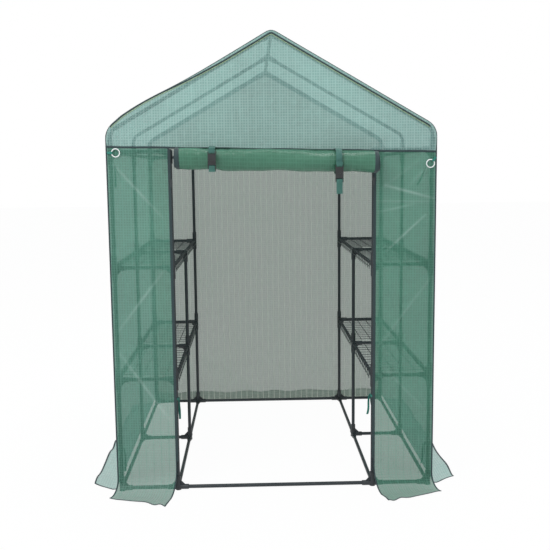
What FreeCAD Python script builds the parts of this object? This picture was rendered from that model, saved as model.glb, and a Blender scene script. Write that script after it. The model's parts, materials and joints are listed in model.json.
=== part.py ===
"""Walk-in greenhouse: plug-together steel tube frame, wire shelves and a fabric cover. Millimetres.

The origin is on the ground at the middle of the footprint: +X to the right as seen from the door,
+Y from the door to the back, +Z up. The frame is three upright frames, one behind the other. Each
has an outer and an inner post on both sides, so that the shelves stand on either side of an aisle.
"""
import FreeCAD, Part
import Sketcher
import math
import os
import re

from FreeCAD import Placement, Rotation, Vector

# Driving sizes: alias, value and meaning. Everything else is worked out from these.
SIZES = (
    ("post_half_x", 672, "outer post axis from the middle"),
    ("aisle_half_x", 427, "inner post axis from the middle"),
    ("frame_half_y", 672, "front and back frame from the middle frame"),
    ("base_axis_z", 12, "base tube axis above the ground"),
    ("shelf_pitch", 485, "from one level of tubes to the next"),
    ("elbow_rise", 85, "roof elbow above the eave connector"),
    ("elbow_radius", 45, "bend radius of a rafter at its elbow"),
    ("roof_pitch", 30, "slope of the roof in degrees"),
    ("tube_od", 16, "outside diameter of a frame tube"),
    ("tube_wall", 0.5, "wall of a frame tube"),
    ("socket_od", 22, "outside diameter of a connector's socket"),
    ("socket_gap", 0.1, "clearance round a tube in its socket"),
    ("socket_stop", 13, "from a connector's middle to the stop that a tube meets"),
    ("sleeve_reach", 50, "upright socket from the connector's middle to its mouth"),
    ("arm_reach", 45, "level socket from the connector's middle to its mouth"),
    ("bore_overrun", 1, "how far a socket's bore is cut past its mouth"),
    ("web_root", 9, "inner corner of a connector's web from both axes"),
    ("web_size", 22, "length of a web's two legs"),
    ("web_tip", 0.5, "width of a web where it runs out"),
    ("web_wall", 4, "thickness of a web"),
    ("foot_radius", 13, "foot of a base connector where it meets the ground"),
    ("foot_rise", 26, "where a base connector's foot has narrowed to its socket"),
    ("wire_od", 3, "wire of a shelf"),
    ("wire_weld", 0.5, "how deep crossing wires are welded into each other"),
    ("wire_pitch", 50, "mesh of a shelf"),
    ("wire_bend", 4, "bend radius of a shelf's cross wire, at the wire's axis"),
    ("wire_overhang", 6, "end of a long wire past the last cross wire"),
    ("lip_drop", 34, "lip of a shelf below its top wires"),
    ("lip_wire_drop", 22, "long wire along the lip below the top wires"),
    ("shelf_gap", 0.4, "clearance between a shelf's wires and the tubes"),
    ("shelf_end_gap", 6, "clearance between a shelf and the socket mouths beside it"),
    ("sheet", 1, "thickness of the cover"),
    ("cover_gap", 16, "inside of the cover from the axes of the tubes that it covers"),
    ("door_half_x", 430, "edge of the door opening from the middle"),
    ("header_rise", 5, "door seam above the eave tubes"),
    ("skirt_side", 120, "side skirt on the ground, outwards"),
    ("skirt_cut", 84, "side skirt's ends cut back to a slant"),
    ("flap_height", 115, "where a front flap begins to lean forward"),
    ("flap_door_reach", 180, "front flap forward of the panel, at the door"),
    ("flap_door_shift", 38, "front flap's tip outwards of the door edge"),
    ("flap_door_bend", 100, "bend of the front flap at the door"),
    ("flap_side_reach", 80, "front flap forward of the panel, at the corner"),
    ("flap_side_shift", 26, "front flap's tip outwards of the corner"),
    ("flap_side_bend", 60, "bend of the front flap at the corner"),
    ("roll_radius", 50, "rolled door"),
    ("roll_left", 385, "left end of the rolled door from the middle"),
    ("roll_right", 435, "right end of the rolled door from the middle"),
    ("roll_gap", 3.5, "clearance between the rolled door and the cover"),
    ("strap_wall", 1.5, "thickness of the webbing"),
    ("strap_width", 25, "width of the webbing"),
    ("strap_gap", 0.5, "clearance between the webbing and the roll"),
    ("strap_left_x", 247, "left strap from the middle"),
    ("strap_right_x", 268, "right strap from the middle"),
    ("buckle_left_drop", 10, "left buckle's top below the door seam"),
    ("buckle_right_drop", 68, "right buckle's top below the door seam"),
    ("buckle_width", 32, "width of a buckle"),
    ("buckle_wall", 9, "thickness of a buckle"),
    ("buckle_half", 35, "length of a buckle's socket, and of its plug without the prongs"),
    ("buckle_gap", 0.5, "clearance between the moving parts of a buckle"),
    ("pocket_width", 25, "inside of a buckle's socket, across"),
    ("pocket_wall", 5, "inside of a buckle's socket, front to back"),
    ("pocket_deep", 24, "inside of a buckle's socket, upwards"),
    ("prong_width", 6, "prong of a buckle's plug"),
    ("prong_long", 20, "prong of a buckle's plug above its shoulder"),
    ("slot_wide", 26, "webbing slot through a buckle, across"),
    ("slot_tall", 5, "webbing slot through a buckle, upwards"),
    ("slot_edge", 3, "bar between a webbing slot and a buckle's end"),
    ("track_width", 8, "zip tape past the door edge"),
    ("track_wall", 1.5, "thickness of the zip tape"),
    ("track_low", 130, "bottom of the zip above the ground"),
    ("slider_drop", 120, "slider's top below the door seam"),
    ("slider_tall", 14, "height of a zip slider"),
    ("slider_width", 12.5, "width of a zip slider"),
    ("slider_plate", 1.6, "plates of a zip slider"),
    ("slider_post", 4, "post between the plates of a zip slider"),
    ("slider_gap", 0.4, "clearance between a zip slider and the tape"),
    ("pull_width", 7, "width of a zip pull"),
    ("pull_long", 26, "length of a zip pull"),
    ("pull_wall", 1.6, "thickness of a zip pull"),
    ("pin_radius", 1, "pin that a zip pull turns on"),
    ("pin_gap", 0.05, "clearance round that pin"),
    ("ring_radius", 16.5, "guy ring at the middle of its wire"),
    ("ring_wire", 4.5, "wire of a guy ring"),
    ("ring_left_x", 648, "left guy ring from the middle"),
    ("ring_left_drop", 9, "left ring's middle below the door seam"),
    ("ring_right_x", 662, "right guy ring from the middle"),
    ("ring_right_drop", 65, "right ring's middle below the door seam"),
    ("ring_left_lean", 180, "side of the left ring that its tab holds, in degrees from +X"),
    ("ring_right_lean", 50, "side of the right ring that its tab holds, in degrees from +X"),
    ("tab_bore", 3.4, "inside radius of a ring tab's loop"),
    ("tab_wall", 1, "thickness of a ring tab"),
    ("tab_width", 10, "width of a ring tab"),
    ("tab_long", 17, "ring tab from its loop to the corner seam"),
    ("tie_bore_gap", 0.4, "clearance between a tie tape and its post"),
    ("tie_wall", 1.2, "thickness of a tie tape"),
    ("tie_width", 11, "width of a tie tape"),
    ("tie_tail", 105, "hanging end of a tie tape"),
    ("tie_knot", 16, "knot of a tie tape"),
    ("tie_low_gap", 35, "low tie's ends above the foot"),
    ("tie_shelf_drop", 95, "tie below the lower shelf tubes"),
)

# Places that several pieces share, as formulas of the driving sizes.
DERIVED = {
    "lower_z": "base_axis_z + shelf_pitch",
    "upper_z": "base_axis_z + 2 * shelf_pitch",
    "eave_z": "base_axis_z + 3 * shelf_pitch",
    "header_z": "eave_z + header_rise",
    "buckle_left_top": "header_z - buckle_left_drop",
    "buckle_right_top": "header_z - buckle_right_drop",
    "slider_top": "header_z - slider_drop",
    "ring_left_z": "header_z - ring_left_drop",
    "ring_right_z": "header_z - ring_right_drop",
    "elbow_z": "eave_z + elbow_rise",
    "ridge_z": "elbow_z + post_half_x * tan(roof_pitch)",
    "elbow_tangent": "elbow_radius * tan(45 - roof_pitch / 2)",
    "wall_x": "post_half_x + cover_gap",
    "wall_y": "frame_half_y + cover_gap",
    "cover_x": "wall_x + sheet",
    "cover_y": "wall_y + sheet",
    "roof_in": "ridge_z + cover_gap / cos(roof_pitch)",
    "roof_out": "ridge_z + (cover_gap + sheet) / cos(roof_pitch)",
    "eave_in": "roof_in - wall_x * tan(roof_pitch)",
    "eave_out": "roof_out - cover_x * tan(roof_pitch)",
    "bay_x": "post_half_x - aisle_half_x",
    "shelf_top": "tube_od / 2 + shelf_gap + wire_od / 2",
    "shelf_half_x": "bay_x / 2 + tube_od / 2 + shelf_gap + wire_od / 2",
    "shelf_long": "frame_half_y - 2 * (arm_reach + shelf_end_gap)",
    "roll_y": "cover_y + roll_gap + roll_radius",
    "roll_z": "header_z - strap_gap - roll_radius",
    "strap_back_y": "roll_y - roll_radius - strap_gap",
    "strap_front_y": "roll_y + roll_radius + strap_gap",
    "strap_top_z": "roll_z + roll_radius + strap_gap",
    "strap_low_z": "roll_z - roll_radius - strap_gap",
    "buckle_back_y": "strap_front_y + strap_wall + buckle_gap",
    "back_reach": "wall_y + flap_door_reach",
    "track_x": "door_half_x - track_width",
    "slider_low": "slider_top - slider_tall",
    "slider_back_y": "cover_y - slider_gap",
    "slider_front_y": "cover_y + track_wall + slider_gap",
    "pin_y": "slider_front_y + slider_plate + pin_radius + pull_wall / 2 + slider_gap",
    "pin_z": "slider_top - slider_tall / 2",
    "ring_y": "cover_y + tab_bore + tab_wall",
}

ALIASES = {alias for alias, _, _ in SIZES}
NAME = re.compile(r"[a-z]+(?:_[a-z]+)*")
LEVELS = ("base_axis_z", "lower_z", "upper_z", "eave_z")
SHELF_LEVELS = {"lower": "lower_z", "upper": "upper_z"}
FRAMES = {"front": "-frame_half_y", "middle": "0", "back": "frame_half_y"}
END_FRAMES = ("front", "back")
BAYS = {"front": "-frame_half_y", "rear": "0"}
SIDES = {"left": -1, "right": 1}
Z_AXIS = Vector(0, 0, 1)
BEHIND = 90  # degrees from the x axis to a tie that points straight back
TIE_CORNER_TURN = 55  # degrees towards the middle, for the ties at the corner posts
TIE_AISLE_TURN = 30  # degrees towards the middle, for the ties beside the doorway
HEADINGS = {
    "up": Vector(0, 0, 1),
    "down": Vector(0, 0, -1),
    "east": Vector(1, 0, 0),
    "west": Vector(-1, 0, 0),
    "north": Vector(0, 1, 0),
    "south": Vector(0, -1, 0),
}

doc = FreeCAD.newDocument("walk_in_greenhouse")
sheet = doc.addObject("Spreadsheet::Sheet", "sizes")
nodes = []


def fill_sheet():
    """Write the driving sizes to the spreadsheet, one aliased cell each."""
    for row, (alias, value, meaning) in enumerate(SIZES, start=1):
        sheet.set(f"A{row}", meaning)
        sheet.set(f"B{row}", str(value))
        sheet.setAlias(f"B{row}", alias)
    doc.recompute()


def on_sheet(text):
    """Turn a formula in plain names into one on the spreadsheet's cells."""

    def cell(match):
        word = match.group(0)
        if word in DERIVED:
            return f"({on_sheet(DERIVED[word])})"
        return f"sizes.{word}" if word in ALIASES else word

    return NAME.sub(cell, text)


def number(text):
    """The present value of a formula."""
    return float(sheet.evalExpression(on_sheet(text)))


def bind(obj, **formulas):
    """Bind properties to formulas; two underscores in a keyword stand for a dot."""
    for key, text in formulas.items():
        obj.setExpression(key.replace("__", "."), on_sheet(text))


def place(obj, x="0", y="0", z="0", turn=None):
    """Turn an object, and bind its place to three formulas."""
    obj.Placement = Placement(Vector(number(x), number(y), number(z)), turn or Rotation())
    bind(obj, Placement__Base__x=x, Placement__Base__y=y, Placement__Base__z=z)
    return obj


def heading_turn(heading):
    """The turn that takes +Z to a heading."""
    return Rotation(Z_AXIS, heading)


def cylinder(name, radius, height, x="0", y="0", z="0", turn=None):
    """A round bar from its start along its own Z."""
    bar = doc.addObject("Part::Cylinder", name)
    bind(bar, Radius=radius, Height=height)
    return place(bar, x, y, z, turn)


def box(name, span_x, span_y, span_z, x="0", y="0", z="0"):
    """A block from its lowest corner."""
    block = doc.addObject("Part::Box", name)
    bind(block, Length=span_x, Width=span_y, Height=span_z)
    return place(block, x, y, z)


def fuse(name, shapes):
    """Several shapes joined into one piece."""
    joined = doc.addObject("Part::MultiFuse", name)
    joined.Shapes = shapes
    joined.Refine = True
    return joined


def cut(name, base, tool):
    """One shape with another taken out of it."""
    piece = doc.addObject("Part::Cut", name)
    piece.Base, piece.Tool = base, tool
    return piece


def copy_of(master, x="0", y="0", z="0", turn=None):
    """A copy that follows its master's shape, at a place of its own."""
    link = doc.addObject("App::Link", f"{master.Name}_copy")
    link.LinkedObject = master
    link.LinkTransform = False
    return place(link, x, y, z, turn)


def node(label, members):
    """One named sub-part: a group of separate solids, or one alone."""
    group = doc.addObject("Part::Compound", label)
    group.Label = label
    group.Links = members
    nodes.append(group)
    return group


def origin_plane(body, role):
    """A body's own origin plane, by its role."""
    return next(f for f in body.Origin.OriginFeatures if f.Role == role)


def outline_sketch(body, name, role, outline, start="0"):
    """A closed sketch of straight edges, each corner bound to two formulas."""
    sketch = body.newObject("Sketcher::SketchObject", name)
    sketch.AttachmentSupport = [(origin_plane(body, role), "")]
    sketch.MapMode = "FlatFace"
    bind(sketch, AttachmentOffset__Base__z=start)
    corners = [Vector(number(x), number(y), 0) for x, y in outline]
    for i, corner in enumerate(corners):
        sketch.addGeometry(Part.LineSegment(corner, corners[(i + 1) % len(corners)]))
    for i, (x, y) in enumerate(outline):
        sketch.addConstraint(
            [
                Sketcher.Constraint("Coincident", i, 2, (i + 1) % len(outline), 1),
                Sketcher.Constraint("DistanceX", -1, 1, i, 1, corners[i].x),
                Sketcher.Constraint("DistanceY", -1, 1, i, 1, corners[i].y),
            ]
        )
        sketch.setExpression(f"Constraints[{3 * i + 1}]", on_sheet(x))
        sketch.setExpression(f"Constraints[{3 * i + 2}]", on_sheet(y))
    return sketch


def plate(name, role, outline, depth, start="0"):
    """A flat body: an outline on an origin plane, padded along that plane's normal."""
    body = doc.addObject("PartDesign::Body", name)
    sketch = outline_sketch(body, f"{name}_outline", role, outline, start)
    pad = body.newObject("PartDesign::Pad", f"{name}_pad")
    pad.Profile = sketch
    bind(pad, Length=depth)
    return body


# ---------------------------------------------------------------- frame tubes


def straight_tube(name, span):
    """A tube that fits between the stops of two connectors whose middles are a span apart."""
    length = f"{span} - 2 * socket_stop"
    outside = cylinder(f"{name}_outside", "tube_od / 2", length)
    inside = cylinder(f"{name}_inside", "tube_od / 2 - tube_wall", length)
    return cut(name, outside, inside)


def make_posts():
    """Upright tubes: a length for each level; the middle frame's inner posts end at the top shelf."""
    master = straight_tube("post_length", "shelf_pitch")
    for frame, y in FRAMES.items():
        for row, half_x in (("outer", "post_half_x"), ("inner", "aisle_half_x")):
            levels = LEVELS[:2] if (frame, row) == ("middle", "inner") else LEVELS[:3]
            lengths = [
                copy_of(master, f"{side} * {half_x}", y, f"{level} + socket_stop")
                for side in SIDES.values()
                for level in levels
            ]
            node(f"{frame}_{row}_posts", lengths)


def make_cross_tubes():
    """Level tubes from an outer post to the inner post beside it."""
    master = straight_tube("cross_length", "bay_x")
    names = ("base_cross_tubes", "lower_cross_tubes", "upper_cross_tubes", "top_cross_tubes")
    starts = ("-post_half_x + socket_stop", "aisle_half_x + socket_stop")
    for name, level in zip(names, LEVELS):
        turn = heading_turn(HEADINGS["east"])
        rows = END_FRAMES if level == "eave_z" else FRAMES
        node(name, [copy_of(master, x, FRAMES[row], level, turn) for row in rows for x in starts])


def make_sills():
    """Base tubes across the aisle, at the front and at the back."""
    master = straight_tube("sill_length", "2 * aisle_half_x")
    for name in ("front", "back"):
        turn = heading_turn(HEADINGS["east"])
        start = "-aisle_half_x + socket_stop"
        node(f"{name}_sill_tube", [copy_of(master, start, FRAMES[name], "base_axis_z", turn)])


def make_rails():
    """Tubes from one frame to the next, on the post lines and along the ridge."""
    master = straight_tube("rail_length", "frame_half_y")
    turn = heading_turn(HEADINGS["north"])
    both_rows = ("-post_half_x", "-aisle_half_x", "aisle_half_x", "post_half_x")
    rails = {
        "base_rails": ("base_axis_z", both_rows),
        "lower_shelf_rails": ("lower_z", both_rows),
        "upper_shelf_rails": ("upper_z", both_rows),
        "eave_rails": ("eave_z", ("-post_half_x", "post_half_x")),
        "ridge_rails": ("ridge_z", ("0",)),
    }
    for name, (level, lines) in rails.items():
        starts = [f"{bay} + socket_stop" for bay in BAYS.values()]
        node(name, [copy_of(master, x, y, level, turn) for x in lines for y in starts])


def make_rafters():
    """Roof tubes: a short upright leg, a bend and a straight slope to the ridge."""
    body = doc.addObject("PartDesign::Body", "rafter_tube")
    leg = "elbow_rise - socket_stop - elbow_tangent"
    slope = "post_half_x / cos(roof_pitch) - elbow_tangent - socket_stop"
    spine = body.newObject("Sketcher::SketchObject", "rafter_line")
    spine.AttachmentSupport = [(origin_plane(body, "XZ_Plane"), "")]
    spine.MapMode = "FlatFace"
    pitch, radius = math.radians(number("roof_pitch")), number("elbow_radius")
    top = Vector(0, number(leg), 0)
    middle = top + Vector(-radius, 0, 0)
    turned = middle + Vector(radius * math.sin(pitch), radius * math.cos(pitch), 0)
    halfway = (math.pi / 2 - pitch) / 2
    bow = middle + Vector(radius * math.cos(halfway), radius * math.sin(halfway), 0)
    end = turned + Vector(-math.cos(pitch), math.sin(pitch), 0) * number(slope)
    spine.addGeometry(Part.LineSegment(Vector(0, 0, 0), top))
    spine.addGeometry(Part.Arc(top, bow, turned))
    spine.addGeometry(Part.LineSegment(turned, end))
    arc_start, arc_end = 1, 2
    spine.addConstraint(
        [
            Sketcher.Constraint("Coincident", 0, 1, -1, 1),
            Sketcher.Constraint("Vertical", 0),
            Sketcher.Constraint("Tangent", 0, 2, 1, arc_start),
            Sketcher.Constraint("Tangent", 1, arc_end, 2, 1),
            Sketcher.Constraint("Distance", 0, number(leg)),
            Sketcher.Constraint("Radius", 1, radius),
            Sketcher.Constraint("Distance", 2, number(slope)),
            Sketcher.Constraint("Angle", 2, math.pi - pitch),
        ]
    )
    spine.setExpression("Constraints[4]", on_sheet(leg))
    spine.setExpression("Constraints[5]", on_sheet("elbow_radius"))
    spine.setExpression("Constraints[6]", on_sheet(slope))
    spine.setExpression("Constraints[7]", on_sheet("180 - roof_pitch"))
    ring = body.newObject("Sketcher::SketchObject", "rafter_section")
    ring.AttachmentSupport = [(origin_plane(body, "XY_Plane"), "")]
    ring.MapMode = "FlatFace"
    for i, text in enumerate(("tube_od / 2", "tube_od / 2 - tube_wall")):
        ring.addGeometry(Part.Circle(Vector(0, 0, 0), Z_AXIS, number(text)))
        ring.addConstraint(Sketcher.Constraint("Coincident", i, 3, -1, 1))
        ring.addConstraint(Sketcher.Constraint("Radius", i, number(text)))
        ring.setExpression(f"Constraints[{2 * i + 1}]", on_sheet(text))
    doc.recompute()
    pipe = body.newObject("PartDesign::AdditivePipe", "rafter_pipe")
    pipe.Profile = ring
    pipe.Spine = spine
    turned_about = Rotation(Z_AXIS, 180)
    for name, y in FRAMES.items():
        z = "eave_z + socket_stop"
        pair = [
            copy_of(body, "post_half_x", y, z),
            copy_of(body, "-post_half_x", y, z, turned_about),
        ]
        node(f"{name}_rafters", pair)


# ---------------------------------------------------------------- connectors


def socket(name, heading, reach):
    """One socket from a connector's middle: its outside, and the bore that the tube fits."""
    turn = heading_turn(heading)
    start = [f"{part} * socket_stop" for part in heading]
    depth = f"{reach} - socket_stop + bore_overrun"
    outside = cylinder(f"{name}_outside", "socket_od / 2", reach, turn=turn)
    inside = cylinder(f"{name}_bore", "tube_od / 2 + socket_gap", depth, *start, turn=turn)
    return outside, inside


def web(name, heading, side):
    """A triangular web in the corner between an upright socket and a level one."""
    piece = doc.addObject("Part::Wedge", name)
    bind(piece, Xmax="web_size", Ymax="web_size", Zmax="web_wall")
    bind(piece, X2max="web_tip", Z2max="web_wall")
    piece.Xmin = piece.Ymin = piece.Zmin = piece.X2min = piece.Z2min = 0
    stand = Rotation(Vector(1, 0, 0), 90)
    across = Vector(-heading.y, heading.x, 0) * side
    turn = Rotation(Vector(1, 0, 0), heading).multiply(Rotation(Vector(1, 0, 0), 0 if side > 0 else 180))
    root = [f"{heading[i]} * web_root + {across[i]} * web_wall / 2" for i in (0, 1)]
    return place(piece, root[0], root[1], f"{side} * web_root", turn.multiply(stand))


def connector(name, upright, level, web_sides, foot=False):
    """A moulded connector: its upright and level sockets, and the webs between them."""
    pairs = [socket(f"{name}_{way}", HEADINGS[way], "sleeve_reach") for way in upright]
    pairs += [socket(f"{name}_{way}", HEADINGS[way], "arm_reach") for way in level]
    solids = [outside for outside, _ in pairs]
    for side in web_sides:
        tag = "over" if side > 0 else "under"
        solids += [web(f"{name}_{tag}_{way}_web", HEADINGS[way], side) for way in level]
    if foot:
        cone = doc.addObject("Part::Cone", f"{name}_foot")
        bind(cone, Radius1="foot_radius", Radius2="socket_od / 2", Height="base_axis_z + foot_rise")
        solids.append(place(cone, z="-base_axis_z"))
    else:
        hub = doc.addObject("Part::Sphere", f"{name}_hub")
        bind(hub, Radius="socket_od / 2")
        solids.append(hub)
    bores = fuse(f"{name}_bores", [inside for _, inside in pairs])
    return cut(name, fuse(f"{name}_outside", solids), bores)


def quarter_turns(count):
    """A turn about Z by a number of quarters."""
    return Rotation(Z_AXIS, 90 * count)


def make_base_connectors():
    """Connectors that the frame stands on."""
    corner = connector("base_corner", ("up",), ("east", "north"), (1,), foot=True)
    tee = connector("base_tee", ("up",), ("east", "north", "south"), (1,), foot=True)
    outer_turns = {"front": (0, 1), "back": (3, 2)}
    outer, inner = [], []
    for frame, y in FRAMES.items():
        for i, side in enumerate(SIDES.values()):
            x_outer, x_inner = f"{side} * post_half_x", f"{side} * aisle_half_x"
            if frame == "middle":
                outer.append(copy_of(tee, x_outer, y, "base_axis_z", quarter_turns(2 * i)))
                inner.append(copy_of(tee, x_inner, y, "base_axis_z", quarter_turns(2 - 2 * i)))
                continue
            outer_turn = quarter_turns(outer_turns[frame][i])
            outer.append(copy_of(corner, x_outer, y, "base_axis_z", outer_turn))
            into_house = quarter_turns(1 if frame == "front" else 3)
            inner.append(copy_of(tee, x_inner, y, "base_axis_z", into_house))
    node("base_outer_connectors", outer)
    node("base_inner_connectors", inner)


def make_sleeve_connectors():
    """Connectors that join two lengths of a post, at the shelf levels and at the eaves."""
    corner = connector("sleeve_corner", ("up", "down"), ("east", "north"), (-1,))
    tee = connector("sleeve_tee", ("up", "down"), ("east", "north", "south"), (-1,))
    post_top = connector("post_top_tee", ("down",), ("east", "north", "south"), (-1,))
    eave_line = connector("eave_line", ("up", "down"), ("north", "south"), (-1,))
    middles = {("aisle_half_x", "upper_z"): post_top, ("post_half_x", "eave_z"): eave_line}
    turns = {"front": {-1: 0, 1: 1}, "back": {-1: 3, 1: 2}}

    def ring_of(half_x, level, inward):
        """Six connectors of one row and level; inward is 1 where they face the aisle."""
        copies = []
        for frame, y in FRAMES.items():
            for side in SIDES.values():
                faces = side * inward
                if frame == "middle":
                    master = middles.get((half_x, level), tee)
                    turn = quarter_turns(0 if faces < 0 else 2)
                else:
                    master, turn = corner, quarter_turns(turns[frame][faces])
                copies.append(copy_of(master, f"{side} * {half_x}", y, level, turn))
        return copies

    both = ("lower_z", "upper_z")
    node("shelf_outer_connectors", [c for z in both for c in ring_of("post_half_x", z, 1)])
    node("shelf_inner_connectors", [c for z in both for c in ring_of("aisle_half_x", z, -1)])
    node("eave_connectors", ring_of("post_half_x", "eave_z", 1))


def make_inner_top_connectors():
    """Elbows at the tops of the end frames' inner posts."""
    elbow = connector("top_elbow", ("down",), ("east",), (-1,))
    copies = [
        copy_of(elbow, f"{side} * aisle_half_x", FRAMES[frame], "eave_z", quarter_turns(1 - side))
        for frame in END_FRAMES
        for side in SIDES.values()
    ]
    node("inner_top_connectors", copies)


def ridge_connector(name, level):
    """Two sockets down the slopes of the roof, and one or two along the ridge."""
    pairs = [socket(f"{name}_{way}", HEADINGS[way], "arm_reach") for way in level]
    for way, side in SIDES.items():
        turn = Rotation(Vector(0, side, 0), 90 + number("roof_pitch"))
        start = (f"{side} * cos(roof_pitch) * socket_stop", "0", "-sin(roof_pitch) * socket_stop")
        depth = "arm_reach - socket_stop + bore_overrun"
        outside = cylinder(f"{name}_{way}_outside", "socket_od / 2", "arm_reach", turn=turn)
        inside = cylinder(f"{name}_{way}_bore", "tube_od / 2 + socket_gap", depth, *start, turn=turn)
        for bar in (outside, inside):
            bind(bar, Placement__Rotation__Angle="90 + roof_pitch")
        pairs.append((outside, inside))
    hub = doc.addObject("Part::Sphere", f"{name}_hub")
    bind(hub, Radius="socket_od / 2")
    bores = fuse(f"{name}_bores", [inside for _, inside in pairs])
    return cut(name, fuse(f"{name}_outside", [hub] + [outside for outside, _ in pairs]), bores)


def make_ridge_connectors():
    """Connectors where the rafters meet."""
    end = ridge_connector("ridge_end", ("north",))
    through = ridge_connector("ridge_through", ("north", "south"))
    copies = [
        copy_of(end, "0", FRAMES["front"], "ridge_z"),
        copy_of(through, "0", FRAMES["middle"], "ridge_z"),
        copy_of(end, "0", FRAMES["back"], "ridge_z", quarter_turns(2)),
    ]
    node("ridge_connectors", copies)


# ---------------------------------------------------------------- shelves


def round_sketch(body, name, role, centres, start="0"):
    """A sketch of circles of the wire's size, each centre bound to two formulas."""
    sketch = body.newObject("Sketcher::SketchObject", name)
    sketch.AttachmentSupport = [(origin_plane(body, role), "")]
    sketch.MapMode = "FlatFace"
    bind(sketch, AttachmentOffset__Base__z=start)
    radius = number("wire_od / 2")
    for i, (x, y) in enumerate(centres):
        middle = Vector(number(x), number(y), 0)
        sketch.addGeometry(Part.Circle(middle, Z_AXIS, radius))
        sketch.addConstraint(
            [
                Sketcher.Constraint("Radius", i, radius),
                Sketcher.Constraint("DistanceX", -1, 1, i, 3, middle.x),
                Sketcher.Constraint("DistanceY", -1, 1, i, 3, middle.y),
            ]
        )
        sketch.setExpression(f"Constraints[{3 * i}]", on_sheet("wire_od / 2"))
        sketch.setExpression(f"Constraints[{3 * i + 1}]", on_sheet(x))
        sketch.setExpression(f"Constraints[{3 * i + 2}]", on_sheet(y))
    return sketch


def cross_wire_line(body):
    """The line of a cross wire: level over both rails, and bent down into a lip at each."""
    spine = body.newObject("Sketcher::SketchObject", "cross_wire_line")
    spine.AttachmentSupport = [(origin_plane(body, "XZ_Plane"), "")]
    spine.MapMode = "FlatFace"
    half, drop, bend = number("shelf_half_x"), number("lip_drop"), number("wire_bend")
    diagonal = bend * (1 - math.sqrt(0.5))
    left, right = Vector(-half, -drop, 0), Vector(half, -drop, 0)
    left_low, right_low = Vector(-half, -bend, 0), Vector(half, -bend, 0)
    left_top, right_top = Vector(-half + bend, 0, 0), Vector(half - bend, 0, 0)
    left_bow = Vector(-half + diagonal, -diagonal, 0)
    right_bow = Vector(half - diagonal, -diagonal, 0)
    spine.addGeometry(Part.LineSegment(left, left_low))
    spine.addGeometry(Part.Arc(left_low, left_bow, left_top))
    spine.addGeometry(Part.LineSegment(left_top, right_top))
    spine.addGeometry(Part.Arc(right_top, right_bow, right_low))
    spine.addGeometry(Part.LineSegment(right_low, right))
    spine.addConstraint(
        [
            Sketcher.Constraint("Vertical", 0),
            Sketcher.Constraint("Horizontal", 2),
            Sketcher.Constraint("Vertical", 4),
            Sketcher.Constraint("Tangent", 0, 2, 1, 2),
            Sketcher.Constraint("Tangent", 1, 1, 2, 1),
            Sketcher.Constraint("Tangent", 2, 2, 3, 2),
            Sketcher.Constraint("Tangent", 3, 1, 4, 1),
            Sketcher.Constraint("Radius", 1, bend),
            Sketcher.Constraint("Equal", 1, 3),
            Sketcher.Constraint("DistanceX", -1, 1, 0, 1, -half),
            Sketcher.Constraint("DistanceY", -1, 1, 0, 1, -drop),
            Sketcher.Constraint("DistanceX", -1, 1, 4, 2, half),
            Sketcher.Constraint("DistanceY", -1, 1, 4, 2, -drop),
            Sketcher.Constraint("PointOnObject", 2, 1, -1),
        ]
    )
    spine.setExpression("Constraints[7]", on_sheet("wire_bend"))
    spine.setExpression("Constraints[9]", on_sheet("-shelf_half_x"))
    spine.setExpression("Constraints[10]", on_sheet("-lip_drop"))
    spine.setExpression("Constraints[11]", on_sheet("shelf_half_x"))
    spine.setExpression("Constraints[12]", on_sheet("-lip_drop"))
    return spine


def shelf_master():
    """A welded wire shelf that hooks over two rails. Its first cross wire is at its own origin."""
    body = doc.addObject("PartDesign::Body", "shelf_panel")
    body.AllowCompound = True
    spine = cross_wire_line(body)
    start = ("-shelf_half_x", "0")
    section = round_sketch(body, "cross_wire_section", "XY_Plane", [start], "-lip_drop")
    doc.recompute()
    pipe = body.newObject("PartDesign::AdditivePipe", "cross_wire")
    pipe.Profile = section
    pipe.Spine = spine
    spaces = round(number("shelf_long / wire_pitch"))
    row = body.newObject("PartDesign::LinearPattern", "cross_wires")
    row.Originals = [pipe]
    row.Direction = (origin_plane_axis(body, "Y_Axis"), [""])
    row.Occurrences = spaces + 1
    bind(row, Length="shelf_long")
    body.Tip = row
    columns = max(2, round(number("bay_x / wire_pitch")))
    under = "-(wire_od - wire_weld)"
    centres = [(f"bay_x * {i / columns - 0.5:.6f}", under) for i in range(1, columns)]
    centres += [(f"{side} * (shelf_half_x + wire_od - wire_weld)", "-lip_wire_drop") for side in (-1, 1)]
    long_section = round_sketch(body, "long_wire_section", "XZ_Plane", centres, "wire_overhang")
    pad = body.newObject("PartDesign::Pad", "long_wires")
    pad.Profile = long_section
    pad.Reversed = True
    bind(pad, Length="shelf_long + 2 * wire_overhang")
    return body


def origin_plane_axis(body, role):
    """A body's own origin axis, by its role."""
    return next(f for f in body.Origin.OriginFeatures if f.Role == role)


def make_shelves():
    """Eight equal shelves: two levels, two sides and two bays."""
    master = shelf_master()
    middle = "(aisle_half_x + post_half_x) / 2"
    for level, z in SHELF_LEVELS.items():
        for side, sign in SIDES.items():
            for bay, y in BAYS.items():
                first = f"{y} + arm_reach + shelf_end_gap"
                copy = copy_of(master, f"{sign} * {middle}", first, f"{z} + shelf_top")
                node(f"{level}_{side}_{bay}_shelf", [copy])


# ---------------------------------------------------------------- cover


def make_roof():
    """Two slopes of the roof, from the ridge to the eaves."""
    slopes = []
    for side, sign in SIDES.items():
        outline = [
            ("0", "roof_in"),
            (f"{sign} * wall_x", "eave_in"),
            (f"{sign} * cover_x", "eave_out"),
            ("0", "roof_out"),
        ]
        slopes.append(plate(f"roof_{side}_slope", "XZ_Plane", outline, "2 * cover_y", "-cover_y"))
    node("roof_cover", slopes)


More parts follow.
